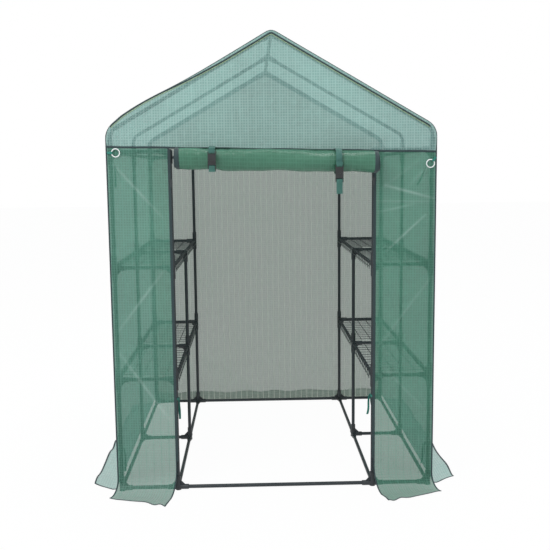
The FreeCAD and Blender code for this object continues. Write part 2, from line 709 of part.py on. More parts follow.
def make_side_walls():
    """Side walls, each with a skirt that lies outwards on the ground."""
    for side, sign in SIDES.items():
        wall_outline = [
            (f"{sign} * wall_x", "sheet"),
            (f"{sign} * cover_x", "sheet"),
            (f"{sign} * cover_x", "eave_out"),
            (f"{sign} * wall_x", "eave_in"),
        ]
        name = f"{side}_wall"
        wall = plate(f"{name}_sheet", "XZ_Plane", wall_outline, "2 * wall_y", "-wall_y")
        skirt_outline = [
            (f"{sign} * wall_x", "-wall_y"),
            (f"{sign} * (cover_x + skirt_side)", "-wall_y + skirt_cut"),
            (f"{sign} * (cover_x + skirt_side)", "wall_y - skirt_cut"),
            (f"{sign} * wall_x", "wall_y"),
        ]
        skirt = plate(f"{name}_skirt", "XY_Plane", skirt_outline, "sheet")
        node(name, [wall, skirt])


def gable_outline(low):
    """The end of the house from a height up to the roof, seen from the front."""
    return [
        ("-cover_x", low),
        ("cover_x", low),
        ("cover_x", "eave_out"),
        ("wall_x", "eave_in"),
        ("0", "roof_in"),
        ("-wall_x", "eave_in"),
        ("-cover_x", "eave_out"),
    ]


def make_back_wall():
    """Back wall up to the roof, with a skirt that lies backwards on the ground."""
    wall = plate("back_wall_sheet", "XZ_Plane", gable_outline("sheet"), "sheet", "-cover_y")
    skirt_outline = [
        ("-cover_x", "wall_y"),
        ("cover_x", "wall_y"),
        ("cover_x + flap_side_shift", "back_reach"),
        ("-cover_x - flap_side_shift", "back_reach"),
    ]
    node("back_wall", [wall, plate("back_wall_skirt", "XY_Plane", skirt_outline, "sheet")])


def make_front_gable():
    """Front panel between the header seam and the roof."""
    gable = plate("front_gable_sheet", "XZ_Plane", gable_outline("header_z"), "sheet", "wall_y")
    node("front_gable_panel", [gable])


def flap_profile(corner_x, tip_shift, reach, bend):
    """One side of a front flap: down the panel, round the bend and forward along the ground."""
    sheet_wall = number("sheet")
    height, wall_y = number("flap_height"), number("wall_y")
    forward = Vector(tip_shift, -reach, 0).normalize()
    length = math.hypot(tip_shift, reach)

    def at(along, rise):
        return Vector(corner_x, -wall_y, rise) + forward * along

    inner_bend = bend - sheet_wall
    sag = 1 - math.sqrt(0.5)
    edges = [
        Part.LineSegment(at(0, height), at(0, bend)),
        Part.Arc(at(0, bend), at(bend * sag, bend * sag), at(bend, 0)),
        Part.LineSegment(at(bend, 0), at(length, 0)),
        Part.LineSegment(at(length, 0), at(length, sheet_wall)),
        Part.LineSegment(at(length, sheet_wall), at(bend, sheet_wall)),
        Part.Arc(
            at(bend, sheet_wall),
            at(bend - inner_bend * math.sqrt(0.5), bend - inner_bend * math.sqrt(0.5)),
            at(sheet_wall, bend),
        ),
        Part.LineSegment(at(sheet_wall, bend), at(sheet_wall, height)),
        Part.LineSegment(at(sheet_wall, height), at(0, height)),
    ]
    return Part.Wire([edge.toShape() for edge in edges])


def make_front_panels():
    """Panels on either side of the door, each with a flap that lies forward on the ground."""
    for side, sign in SIDES.items():
        name = f"front_{side}_panel"
        outline = [
            (f"{sign} * door_half_x", "flap_height"),
            (f"{sign} * cover_x", "flap_height"),
            (f"{sign} * cover_x", "header_z"),
            (f"{sign} * door_half_x", "header_z"),
        ]
        panel = plate(f"{name}_sheet", "XZ_Plane", outline, "sheet", "wall_y")
        door, corner = (
            flap_profile(
                sign * number(edge),
                sign * number(f"flap_{end}_shift"),
                number(f"flap_{end}_reach"),
                number(f"flap_{end}_bend"),
            )
            for end, edge in (("door", "door_half_x"), ("side", "cover_x"))
        )
        flap = doc.addObject("Part::Feature", f"{name}_flap")
        flap.Shape = Part.makeLoft([door, corner], True, True)
        node(name, [panel, flap])


# ---------------------------------------------------------------- rolled door


def make_door_roll():
    """The door, rolled up under the header seam."""
    turn = heading_turn(HEADINGS["east"])
    long = "roll_left + roll_right"
    roll = cylinder("rolled_sheet", "roll_radius", long, "-roll_left", "-roll_y", "roll_z", turn)
    node("door_roll", [roll])


def band(name, outline, x):
    """A strip of webbing round the roll: an outline seen from the side, as wide as the webbing."""
    return plate(name, "YZ_Plane", outline, "strap_width", f"{x} - strap_width / 2")


def make_straps():
    """Webbing over the front of the roll to each buckle, and round behind it."""
    for side, sign in SIDES.items():
        x, top = f"{sign} * strap_{side}_x", f"buckle_{side}_top"
        outside, inside = "-strap_front_y - strap_wall", "-strap_front_y"
        front = [
            ("-strap_back_y", "strap_top_z"),
            ("-strap_back_y", "strap_top_z + strap_wall"),
            (outside, "strap_top_z + strap_wall"),
            (outside, top),
            (inside, top),
            (inside, "strap_top_z"),
        ]
        node(f"strap_front_{side}", [band(f"strap_front_{side}_band", front, x)])
        foot = f"{top} - 2 * buckle_half"
        low_out = "strap_low_z - strap_wall"
        if number(foot) > number("strap_low_z"):
            end = [(outside, low_out), (outside, foot), (inside, foot), (inside, "strap_low_z")]
        else:
            end = [(inside, low_out), (inside, foot), (outside, foot), (outside, "strap_low_z")]
        back = [
            ("-strap_back_y", "strap_top_z"),
            ("-strap_back_y + strap_wall", "strap_top_z"),
            ("-strap_back_y + strap_wall", low_out),
            *end,
            ("-strap_back_y", "strap_low_z"),
        ]
        node(f"strap_back_{side}", [band(f"strap_back_{side}_band", back, x)])


def make_buckles():
    """Side-release buckles: a socket on the front webbing, and a plug with two prongs."""
    for side, sign in SIDES.items():
        x, top, y = f"{sign} * strap_{side}_x", f"buckle_{side}_top", "-buckle_back_y - buckle_wall"

        def block(name, wide, deep, tall, z, shift="0"):
            """A block that is centred on the strap and in the buckle's thickness."""
            near = f"{y} + (buckle_wall - ({deep})) / 2"
            return box(name, wide, deep, tall, f"{x} + {shift} - ({wide}) / 2", near, z)

        case = f"buckle_{side}_case"
        low = f"{top} - buckle_half"
        case_block = block(f"{case}_block", "buckle_width", "buckle_wall", "buckle_half", low)
        pocket = block(f"{case}_pocket", "pocket_width", "pocket_wall", "pocket_deep", low)
        slot_z = f"{top} - slot_edge - slot_tall"
        case_slot = block(f"{case}_slot", "slot_wide", "buckle_wall + 2 * bore_overrun", "slot_tall", slot_z)
        hollow = fuse(f"{case}_hollow", [pocket, case_slot])
        node(f"buckle_socket_{side}", [cut(case, case_block, hollow)])

        plug = f"buckle_{side}_body"
        shoulder = f"{low} - buckle_gap"
        foot = f"{top} - 2 * buckle_half"
        tall = "buckle_half - buckle_gap"
        body_block = block(f"{plug}_block", "buckle_width", "buckle_wall", tall, foot)
        prong_shift = "(pocket_width / 2 - buckle_gap - prong_width / 2)"
        prong_wall, prong_tall = "pocket_wall - 2 * buckle_gap", "prong_long + bore_overrun"
        prongs = [
            block(
                f"{plug}_prong_{i}",
                "prong_width",
                prong_wall,
                prong_tall,
                f"{shoulder} - bore_overrun",
                f"{hand} * {prong_shift}",
            )
            for i, hand in enumerate((-1, 1))
        ]
        plug_slots = [
            block(
                f"{plug}_slot_{i}",
                "slot_wide",
                "buckle_wall + 2 * bore_overrun",
                "slot_tall",
                f"{foot} + slot_edge + {i} * (slot_tall + slot_edge)",
            )
            for i in (0, 1)
        ]
        solid = fuse(f"{plug}_solid", [body_block] + prongs)
        node(f"buckle_plug_{side}", [cut(plug, solid, fuse(f"{plug}_slots", plug_slots))])


# ---------------------------------------------------------------- zip, rings and ties


def make_zips():
    """Zip tape down each door edge, with a slider parked at the top and its pull."""
    tapes = []
    for side, sign in SIDES.items():
        low_x = "track_x" if sign > 0 else "-door_half_x"
        tall = "header_z - track_low"
        tape_y = "-cover_y - track_wall"
        tape = box(f"zip_tape_{side}", "track_width", "track_wall", tall, low_x, tape_y, "track_low")
        tapes.append(tape)
        outer = "door_half_x - slider_gap"
        plate_x = f"{outer} - slider_width" if sign > 0 else f"-({outer})"
        post_x = f"{outer} - slider_width" if sign > 0 else f"-({outer}) + slider_width - slider_post"
        front = box(
            f"slider_front_{side}", "slider_width", "slider_plate", "slider_tall",
            plate_x, "-slider_front_y - slider_plate", "slider_low",
        )
        back = box(
            f"slider_back_{side}", "slider_width", "slider_plate", "slider_tall",
            plate_x, "-slider_back_y", "slider_low",
        )
        between = "slider_front_y - slider_back_y + 2 * slider_plate"
        post = box(
            f"slider_post_{side}", "slider_post", between, "slider_tall",
            post_x, "-slider_front_y - slider_plate", "slider_low",
        )
        middle = f"{plate_x} + slider_width / 2"
        lug_wall = "pin_y - slider_front_y + pull_wall / 2"
        lugs = [
            box(
                f"slider_lug_{side}_{i}", "slider_plate", lug_wall, "2 * slider_plate",
                f"{middle} + {hand} * (pull_width / 2 + slider_gap + slider_plate / 2) - slider_plate / 2",
                "-pin_y - pull_wall / 2", "pin_z - slider_plate",
            )
            for i, hand in enumerate((-1, 1))
        ]
        pin_long = "pull_width + 2 * slider_gap + 2 * slider_plate"
        turn = heading_turn(HEADINGS["east"])
        pin = cylinder(
            f"slider_pin_{side}", "pin_radius", pin_long,
            f"{middle} - ({pin_long}) / 2", "-pin_y", "pin_z", turn,
        )
        node(f"zip_slider_{side}", [fuse(f"slider_{side}", [front, back, post, pin] + lugs)])
        make_pull(side, middle)
    node("zip_tapes", tapes)


def make_pull(side, middle):
    """A pull tab that hangs from its slider's pin."""
    left = f"{middle} - pull_width / 2"
    turn = heading_turn(HEADINGS["east"])
    tab = box(
        f"pull_tab_{side}", "pull_width", "pull_wall", "pull_long",
        left, "-pin_y - pull_wall / 2", "pin_z - pull_long",
    )
    eye_radius = "pin_radius + pull_wall / 2"
    eye = cylinder(f"pull_eye_{side}", eye_radius, "pull_width", left, "-pin_y", "pin_z", turn)
    hole = cylinder(
        f"pull_hole_{side}", "pin_radius + pin_gap", "pull_width + 2 * bore_overrun",
        f"{left} - bore_overrun", "-pin_y", "pin_z", turn,
    )
    node(f"zip_pull_{side}", [cut(f"pull_{side}", fuse(f"pull_solid_{side}", [tab, eye]), hole)])


def make_rings():
    """Guy rings near the eaves, each held by a tab that is sewn into the corner seam."""
    tabs = []
    for side, sign in SIDES.items():
        x, z = f"{sign} * ring_{side}_x", f"ring_{side}_z"
        lean = f"ring_{side}_lean"
        ring = doc.addObject("Part::Torus", f"ring_{side}")
        bind(ring, Radius1="ring_radius", Radius2="ring_wire / 2")
        place(ring, x, "-ring_y", z, heading_turn(HEADINGS["north"]))
        node(f"guy_ring_{side}", [ring])
        loop_x, loop_z = f"{x} + ring_radius * cos({lean})", f"{z} + ring_radius * sin({lean})"
        angle = math.radians(number(lean))
        along = Vector(-math.sin(angle), 0, math.cos(angle))
        start_x = f"{loop_x} - tab_width / 2 * ({along.x:.9f})"
        start = [start_x, "-ring_y", f"{loop_z} - tab_width / 2 * ({along.z:.9f})"]
        turn = heading_turn(along)
        sleeve = cylinder(f"tab_sleeve_{side}", "tab_bore + tab_wall", "tab_width", *start, turn=turn)
        bore = cylinder(
            f"tab_bore_{side}", "tab_bore", "tab_width + 2 * bore_overrun",
            f"{start[0]} - bore_overrun * ({along.x:.9f})", start[1],
            f"{start[2]} - bore_overrun * ({along.z:.9f})", turn,
        )
        flat = doc.addObject("Part::Box", f"tab_flat_{side}")
        bind(flat, Length="tab_long", Width="tab_wall", Height="tab_width")
        flat_turn = Rotation(Vector(0, -1, 0), number(lean))
        place(flat, start[0], "-cover_y - tab_wall", start[2], flat_turn)
        solid = fuse(f"tab_solid_{side}", [sleeve, flat])
        tabs.append(cut(f"ring_tab_{side}", solid, bore))
    node("ring_tabs", tabs)


def tie(name, x, y, z, turn_degrees):
    """A tie tape knotted round a post, with two hanging ends. It is one piece."""
    loop_out = "tube_od / 2 + tie_bore_gap + tie_wall"
    loop = cylinder(f"{name}_loop", loop_out, "tie_width")
    hole = cylinder(
        f"{name}_hole", "tube_od / 2 + tie_bore_gap", "tie_width + 2 * bore_overrun", z="-bore_overrun"
    )
    knot = box(
        f"{name}_knot", "tie_knot / 2", "tie_knot", "tie_width",
        f"{loop_out} - tie_wall / 2", "-tie_knot / 2",
    )
    tails = []
    for i, spread in enumerate((-1, 1)):
        tail = box(
            f"{name}_tail_{i}", "tie_wall", "tie_width", "tie_tail",
            f"{loop_out} + tie_wall + {i} * 2 * tie_wall", f"{spread} * tie_knot / 4 - tie_width / 2",
            "tie_width / 2 - tie_tail",
        )
        tails.append(tail)
    solid = cut(name, fuse(f"{name}_solid", [loop, knot] + tails), hole)
    return place(solid, x, y, z, Rotation(Z_AXIS, turn_degrees))


def make_ties():
    """Tie tapes that hold the cover to the posts, near the eaves, near the ground and at the shelves."""
    row_y = "-frame_half_y"
    high, low = "eave_z - sleeve_reach - tie_knot", "base_axis_z + foot_rise + tie_tail + tie_low_gap"
    shelf = "lower_z - tie_shelf_drop"
    ties = []
    for side, sign in SIDES.items():
        corner_x, inner_x = f"{sign} * post_half_x", f"{sign} * aisle_half_x"
        into_corner = BEHIND + TIE_CORNER_TURN * sign
        into_aisle = BEHIND + TIE_AISLE_TURN * sign
        ties.append(tie(f"tie_high_{side}", corner_x, row_y, high, into_corner))
        ties.append(tie(f"tie_low_{side}", corner_x, row_y, low, into_corner))
        ties.append(tie(f"tie_inner_{side}", inner_x, row_y, shelf, into_aisle))
    node("tie_tapes", ties)


# ---------------------------------------------------------------- build and export


def check_document():
    """Stop on any failed object or bad shape."""
    failed = [o.Name for o in doc.Objects if {"Invalid", "Error"} & set(o.State)]
    if failed:
        raise RuntimeError(f"failed objects: {failed}")
    bad = [n.Label for n in nodes if n.Shape.isNull() or not n.Shape.isValid() or not n.Shape.Solids]
    if bad:
        raise RuntimeError(f"bad shapes: {bad}")


def main():
    """Build every sub-part, check them and write one file each."""
    fill_sheet()
    for make in (
        make_posts, make_cross_tubes, make_sills, make_rails, make_rafters,
        make_base_connectors, make_sleeve_connectors, make_inner_top_connectors,
        make_ridge_connectors, make_shelves, make_roof, make_side_walls, make_back_wall,
        make_front_gable, make_front_panels, make_door_roll, make_straps, make_buckles,
        make_zips, make_rings, make_ties,
    ):
        make()
    doc.recompute()
    check_document()
    os.makedirs("parts", exist_ok=True)
    for part in nodes:
        part.Shape.exportStep(f"parts/{part.Label}.step")
        print(f"{part.Label}: {len(part.Shape.Solids)} solids, {part.Shape.Volume / 1000:.1f} cm3")
    print(f"{len(nodes)} nodes")


main()
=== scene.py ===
"""A walk-in shelf greenhouse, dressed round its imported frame.

The tubes, connectors, shelves and metal trim come from the frame. The cover, its bindings, the
rolled door, the webbing and the tapes are made here as cloth.
"""

import json
import logging
import math
from dataclasses import dataclass
from enum import Enum
from typing import Any, Callable

import bpy
import numpy as np
from mathutils import Matrix, Vector


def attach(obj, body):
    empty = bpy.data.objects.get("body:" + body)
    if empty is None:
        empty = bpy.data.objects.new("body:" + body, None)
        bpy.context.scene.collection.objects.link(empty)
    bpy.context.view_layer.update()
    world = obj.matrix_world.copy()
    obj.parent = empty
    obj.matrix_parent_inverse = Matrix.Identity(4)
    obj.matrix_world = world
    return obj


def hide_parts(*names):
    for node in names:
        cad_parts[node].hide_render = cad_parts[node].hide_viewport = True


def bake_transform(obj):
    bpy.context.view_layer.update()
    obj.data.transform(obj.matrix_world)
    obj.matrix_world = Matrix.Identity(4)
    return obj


LOG = logging.getLogger("greenhouse")
Colour = tuple[float, float, float]
Place = Callable[[np.ndarray, np.ndarray], np.ndarray]

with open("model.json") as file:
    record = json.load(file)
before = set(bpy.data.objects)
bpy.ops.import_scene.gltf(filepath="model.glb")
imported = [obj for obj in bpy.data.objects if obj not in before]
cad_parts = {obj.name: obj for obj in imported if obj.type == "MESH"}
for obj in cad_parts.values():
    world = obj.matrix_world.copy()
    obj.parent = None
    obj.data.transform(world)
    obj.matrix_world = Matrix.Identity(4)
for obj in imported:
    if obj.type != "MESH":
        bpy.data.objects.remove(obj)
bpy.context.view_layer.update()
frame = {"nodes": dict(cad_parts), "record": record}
ROOT = "frame_and_cover"
ROLL = "door_roll"
CUT = "cut"
CREASE = "crease"
FOLD_OUT = 0.0012


class Side(Enum):
    """Left and right of the door, seen from in front of it."""

    LEFT = -1
    RIGHT = 1

    @property
    def word(self) -> str:
        """The side's name in a piece name."""
        return self.name.lower()


# ------------------------------------------------------------------ shader maths


class Signal:
    """A value socket that takes part in Python expressions."""

    def __init__(self, graph: "Graph", socket: Any) -> None:
        """Wraps a socket of a graph."""
        self.graph, self.socket = graph, socket

    def math(self, operation: str, *others: Any, clamp: bool = False) -> "Signal":
        """Adds a Math node on this value.

        Args:
            operation: the Math node's operation.
            others: the node's further values or signals.
            clamp: whether the answer is kept from 0 to 1.

        Returns:
            The node's answer.
        """
        values = dict(enumerate((self, *others)))
        settings = {"operation": operation, "use_clamp": clamp}
        return self.graph.add("ShaderNodeMath", settings, values)

    def __add__(self, other: Any) -> "Signal":
        """The sum with another value."""
        return self.math("ADD", other)

    __radd__ = __add__

    def __sub__(self, other: Any) -> "Signal":
        """The difference from another value."""
        return self.math("SUBTRACT", other)

    def __rsub__(self, other: float) -> "Signal":
        """A number less this value."""
        return (self * -1.0).math("ADD", other)

    def __mul__(self, other: Any) -> "Signal":
        """The product with another value."""
        return self.math("MULTIPLY", other)

    __rmul__ = __mul__

    def fract(self) -> "Signal":
        """What is left above the last whole number."""
        return self.math("FRACT")

    def larger(self, other: Any) -> "Signal":
        """The larger of two values."""
        return self.math("MAXIMUM", other)

    def step(self, low: float, high: float) -> "Signal":
        """0 up to low, 1 from high, and a ramp between."""
        slope = 1.0 / (high - low)
        return self.math("MULTIPLY_ADD", slope, -low * slope, clamp=True)


class Graph:
    """The nodes of one material."""

    def __init__(self, name: str) -> None:
        """Starts an empty material of that name."""
        self.material = bpy.data.materials.new(name)
        self.material.use_nodes = True
        self.tree = self.material.node_tree
        self.tree.nodes.clear()

    def add(
        self,
        kind: str,
        settings: dict[str, Any] | None = None,
        values: dict[Any, Any] | None = None,
        output: Any = 0,
    ) -> Signal:
        """Adds one node.

        Args:
            kind: the node's type.
            settings: its properties, and "stops" for a colour ramp.
            values: what its sockets get, by name or number: numbers, colours or signals.
            output: which of its outputs is returned.

        Returns:
            That output.
        """
        made = self.tree.nodes.new(kind)
        for key, value in (settings or {}).items():
            if key == "stops":
                self._set_stops(made.color_ramp, value)
            else:
                setattr(made, key, value)
        for key, value in (values or {}).items():
            if isinstance(value, Signal):
                self.tree.links.new(value.socket, made.inputs[key])
            elif isinstance(value, tuple) and len(value) == 3 and made.inputs[key].type == "RGBA":
                made.inputs[key].default_value = (*value, 1.0)
            else:
                made.inputs[key].default_value = value
        return Signal(self, made.outputs[output])

    @staticmethod
    def _set_stops(ramp: Any, stops: list[tuple[float, Colour]]) -> None:
        """Gives a colour ramp its stops, as (place, colour)."""
        while len(ramp.elements) < len(stops):
            ramp.elements.new(1.0)
        for element, (place, colour) in zip(ramp.elements, stops):
            element.position, element.color = place, (*colour, 1.0)

    def mix(self, share: Any, first: Any, second: Any) -> Signal:
        """The mix of two colours, by a share of the second."""
        settings = {"data_type": "RGBA"}
        return self.add("ShaderNodeMix", settings, {0: share, 6: first, 7: second}, 2)

    @classmethod
    def of_world(cls, world: bpy.types.World) -> "Graph":
        """The emptied nodes of a world."""
        made = cls.__new__(cls)
        made.tree = world.node_tree
        made.tree.nodes.clear()
        return made

    def seen(self) -> Signal:
        """1 for what the camera sees, straight on, in a reflection or through a clear piece."""
        path = self.add("ShaderNodeLightPath", output="Is Camera Ray")
        glossy = Signal(self, path.socket.node.outputs["Is Glossy Ray"])
        clear = Signal(self, path.socket.node.outputs["Is Transmission Ray"])
        return path.larger(glossy).larger(clear)

    def place(self) -> Signal:
        """Object coordinates, in metres."""
        return self.add("ShaderNodeTexCoord", output="Object")

    def cut(self) -> tuple[Signal, Signal, Signal]:
        """The piece's place in its flat cut, in metres: as a vector, across and along."""
        spot = self.add("ShaderNodeUVMap", {"uv_map": CUT})
        across = self.add("ShaderNodeSeparateXYZ", values={0: spot})
        along = Signal(self, across.socket.node.outputs[1])
        return spot, across, along

    def noise(self, vector: Signal, scale: float, detail: float = 3.0, rough: float = 0.55) -> Signal:
        """Smooth noise about 0.5."""
        values = {"Vector": vector, "Scale": scale, "Detail": detail, "Roughness": rough}
        return self.add("ShaderNodeTexNoise", values=values)

    def bump(
        self, height: Signal, depth: float, strength: float = 1.0, under: Signal | None = None
    ) -> Signal:
        """A normal from a height from 0 to 1 that stands for a depth in metres."""
        values = {"Strength": strength, "Distance": depth, "Height": height}
        if under is not None:
            values["Normal"] = under
        return self.add("ShaderNodeBump", values=values)

    def finish(self, shader: Signal) -> bpy.types.Material:
        """Ends the material with a shader, and returns it."""
        end = self.tree.nodes.new("ShaderNodeOutputMaterial")
        self.tree.links.new(shader.socket, end.inputs["Surface"])
        return self.material


# ------------------------------------------------------------------ finishes


@dataclass(frozen=True)
class CoverFabric:
    """A see-through sheet with a square grid of reinforcing threads."""

    name: str
    film: Colour
    thread: Colour
    solid: float = 0.74
    glow: float = 0.35
    rib: float = 0.5
    pitch: float = 0.011
    thread_wide: float = 0.0022
    rough: float = 0.34
    low_shade: float = 0.0

    def _lines(self, spot: Signal, pitch: float, wide: float) -> Signal:
        """Threads along one direction: 1 on a thread."""
        off = (spot * (1.0 / pitch)).fract() - 0.5
        edge = 1.0 - wide / pitch
        return (off.math("ABSOLUTE") * 2.0).step(edge - 0.12, min(edge + 0.12, 1.0))

    def make(self) -> bpy.types.Material:
        """Builds the material.

        Returns:
            The finished material.
        """
        g = Graph(self.name)
        spot, across, along = g.cut()
        fine = self._lines(across, self.pitch, self.thread_wide).larger(
            self._lines(along, self.pitch, self.thread_wide)
        )
        ribs = self._lines(across, 3 * self.pitch, 2.6 * self.thread_wide)
        threads = (fine * (1.0 - 0.75 * self.rib)).larger(ribs * self.rib)
        cloud = g.noise(spot, 3.2, 5.0, 0.62)
        dust = g.noise(spot, 38.0, 3.0, 0.7)
        shade = (cloud * 0.7 + dust * 0.3).step(0.3, 0.72)
        dark = tuple(c * 0.74 for c in self.film)
        pale = tuple(min(1.0, c * 1.14 + 0.014) for c in self.film)
        film = g.mix(shade, dark, pale)
        if self.low_shade:
            # Painted shade: the film is darkened towards the ground, down to half its colour near the foot of
            # the panel.
            height = g.add("ShaderNodeSeparateXYZ", values={0: g.place()}, output=2)
            low_shade_share = (1.0 - height.step(0.05, 0.62)) * self.low_shade
            film = g.mix(low_shade_share, film, tuple(c * 0.5 for c in self.film))
        # Partly stress whitening and partly a painted highlight: the crease attribute pales the colour along
        # the creases.
        creased = g.add("ShaderNodeAttribute", {"attribute_name": CREASE}, output="Fac")
        colour = g.mix(threads * 0.55, film, self.thread)
        colour = g.mix(creased * 0.5, colour, (0.50, 0.68, 0.61))
        rough = self.rough + cloud * 0.22
        crackle = g.add(
            "ShaderNodeTexVoronoi",
            {"feature": "DISTANCE_TO_EDGE"},
            {"Vector": spot, "Scale": 17.0, "Randomness": 1.0},
        )
        crumpled = g.bump(crackle.step(0.0, 0.16), 0.0016, 0.5)
        normal = g.bump(threads, 0.0005, 0.6, crumpled)
        values = {
            "Base Color": colour,
            "Roughness": rough,
            "Normal": normal,
            "Specular IOR Level": 0.42,
        }
        front = g.add("ShaderNodeBsdfPrincipled", values=values)
        through = g.add("ShaderNodeBsdfTranslucent", values={"Color": colour, "Normal": normal})
        cloth = g.add("ShaderNodeMixShader", values={0: self.glow, 1: front, 2: through})
        clear = g.add("ShaderNodeBsdfTransparent", values={0: (1.0, 1.0, 1.0)})
        cover = threads * (0.96 - self.solid) + (shade * 0.06 + (self.solid - 0.03))
        return g.finish(g.add("ShaderNodeMixShader", values={0: cover, 1: clear, 2: cloth}))


@dataclass(frozen=True)
class WovenTape:
    """Woven tape or webbing, with its weave across and along the piece."""

    name: str
    yarn: Colour
    shade: Colour
    pitch: float = 0.0016
    rough: float = 0.72

    def make(self) -> bpy.types.Material:
        """Builds the material.

        Returns:
            The finished material.
        """
        g = Graph(self.name)
        spot, across, along = g.cut()
        turn = 2.0 * math.pi / self.pitch
        warp = (across * turn).math("SINE")
        weft = (along * (turn * 0.8) + warp * 0.9).math("SINE")
        weave = (warp * 0.5 + weft * 0.5).step(-0.8, 0.8)
        worn = g.noise(spot, 60.0, 4.0, 0.7)
        colour = g.mix(weave * 0.6 + worn * 0.4, self.shade, self.yarn)
        normal = g.bump(weave, 0.0004, 0.8)
        values = {
            "Base Color": colour,
            "Roughness": worn * 0.15 + (self.rough - 0.08),
            "Normal": normal,
            "Sheen Weight": 0.25,
            "Sheen Roughness": 0.5,
        }
        return g.finish(g.add("ShaderNodeBsdfPrincipled", values=values))


@dataclass(frozen=True)
class CoatedTube:
    """Powder-coated steel: satin, with a fine orange peel and faint scuffs."""

    name: str
    coat: Colour
    scuff: Colour
    rough: float = 0.38
    grain: float = 900.0

    def make(self) -> bpy.types.Material:
        """Builds the material.

        Returns:
            The finished material.
        """
        g = Graph(self.name)
        spot = g.place()
        peel = g.noise(spot, self.grain, 2.0)
        wear = g.noise(spot, 22.0, 6.0, 0.7)
        marks = wear.step(0.58, 0.74)
        colour = g.mix(marks * 0.5, self.coat, self.scuff)
        values = {
            "Base Color": colour,
            "Roughness": marks * 0.18 + peel * 0.08 + (self.rough - 0.04),
            "Normal": g.bump(peel, 0.0002, 0.35),
            "Specular IOR Level": 0.5,
        }
        return g.finish(g.add("ShaderNodeBsdfPrincipled", values=values))


@dataclass(frozen=True)
class MouldedPlastic:
    """Moulded plastic with a fine spark-eroded grain."""

    name: str
    body: Colour
    rough: float = 0.5

    def make(self) -> bpy.types.Material:
        """Builds the material.

        Returns:
            The finished material.
        """
        g = Graph(self.name)
        spot = g.place()
        grain = g.noise(spot, 1400.0, 2.0)
        flow = g.noise(spot, 30.0, 4.0)
        lighter = tuple(c * 1.7 + 0.006 for c in self.body)
        values = {
            "Base Color": g.mix(flow.step(0.35, 0.7), self.body, lighter),
            "Roughness": flow * 0.12 + grain * 0.06 + (self.rough - 0.08),
            "Normal": g.bump(grain, 0.00015, 0.4),
        }
        return g.finish(g.add("ShaderNodeBsdfPrincipled", values=values))


@dataclass(frozen=True)
class StageFloor:
    """The plain pale ground: near white to the eye, and it keeps a soft shadow."""

    name: str = "pale_ground"
    own_light: float = 0.97

    def make(self) -> bpy.types.Material:
        """Builds the material.

        Returns:
            The finished material.
        """
        g = Graph(self.name)
        ground = g.add("ShaderNodeBsdfDiffuse", values={0: (0.82, 0.83, 0.82)})
        white = g.add("ShaderNodeEmission", values={0: (1.0, 1.0, 1.0), 1: 1.0})
        mixed = g.add(
            "ShaderNodeMixShader", values={0: g.seen() * self.own_light, 1: ground, 2: white}
        )
        return g.finish(mixed)


@dataclass(frozen=True)
class Finishes:
    """Every finish on the object."""

    roof: bpy.types.Material
    gable: bpy.types.Material
    panel: bpy.types.Material
    far_panel: bpy.types.Material
    back: bpy.types.Material
    door: bpy.types.Material
    binding: bpy.types.Material
    piping: bpy.types.Material
    webbing: bpy.types.Material
    tie: bpy.types.Material
    tube: bpy.types.Material
    connector: bpy.types.Material
    wire: bpy.types.Material
    buckle: bpy.types.Material
    zip_metal: bpy.types.Material
    ring: bpy.types.Material

    @classmethod
    def make(cls) -> "Finishes":
        """Builds them all."""
        thread = (0.50, 0.66, 0.57)
        return cls(
            roof=CoverFabric("cover_roof_and_sides", (0.17, 0.39, 0.35), thread, 0.70, 0.45).make(),
            gable=CoverFabric("cover_gable", (0.28, 0.51, 0.47), (0.66, 0.79, 0.76), 0.66, 0.40).make(),
            panel=CoverFabric(
                "cover_front", (0.09, 0.275, 0.20), (0.22, 0.44, 0.35), 0.75, 0.35, low_shade=0.45
            ).make(),
            far_panel=CoverFabric(
                "cover_front_right", (0.072, 0.25, 0.17), (0.17, 0.40, 0.30), 0.78, 0.35, low_shade=0.45
            ).make(),
            back=CoverFabric("cover_back", (0.165, 0.23, 0.19), (0.70, 0.74, 0.66), 0.80, 0.45, 0.9).make(),
            door=CoverFabric(
                "cover_rolled_door", (0.045, 0.165, 0.10), (0.10, 0.27, 0.19), 0.97, 0.05, rough=0.2
            ).make(),
            binding=WovenTape("binding_tape", (0.020, 0.052, 0.056), (0.006, 0.018, 0.022)).make(),
            piping=WovenTape("pale_piping", (0.42, 0.55, 0.30), (0.28, 0.38, 0.18)).make(),
            webbing=WovenTape("webbing", (0.042, 0.165, 0.135), (0.016, 0.075, 0.06), 0.0022).make(),
            tie=WovenTape("tie_tape", (0.012, 0.24, 0.18), (0.006, 0.12, 0.09), 0.0013).make(),
            tube=CoatedTube("coated_tube", (0.010, 0.017, 0.022), (0.045, 0.06, 0.07)).make(),
            connector=MouldedPlastic("moulded_connector", (0.012, 0.016, 0.019), 0.46).make(),
            wire=CoatedTube("coated_wire", (0.011, 0.021, 0.024), (0.05, 0.07, 0.075), 0.42).make(),
            buckle=MouldedPlastic("moulded_buckle", (0.010, 0.012, 0.013), 0.36).make(),
            zip_metal=CoatedTube("zip_metal", (0.03, 0.04, 0.042), (0.2, 0.21, 0.21), 0.33).make(),
            ring=CoatedTube("white_coat", (0.82, 0.84, 0.83), (0.6, 0.62, 0.6), 0.3).make(),
        )


# ------------------------------------------------------------------ lines and sheets


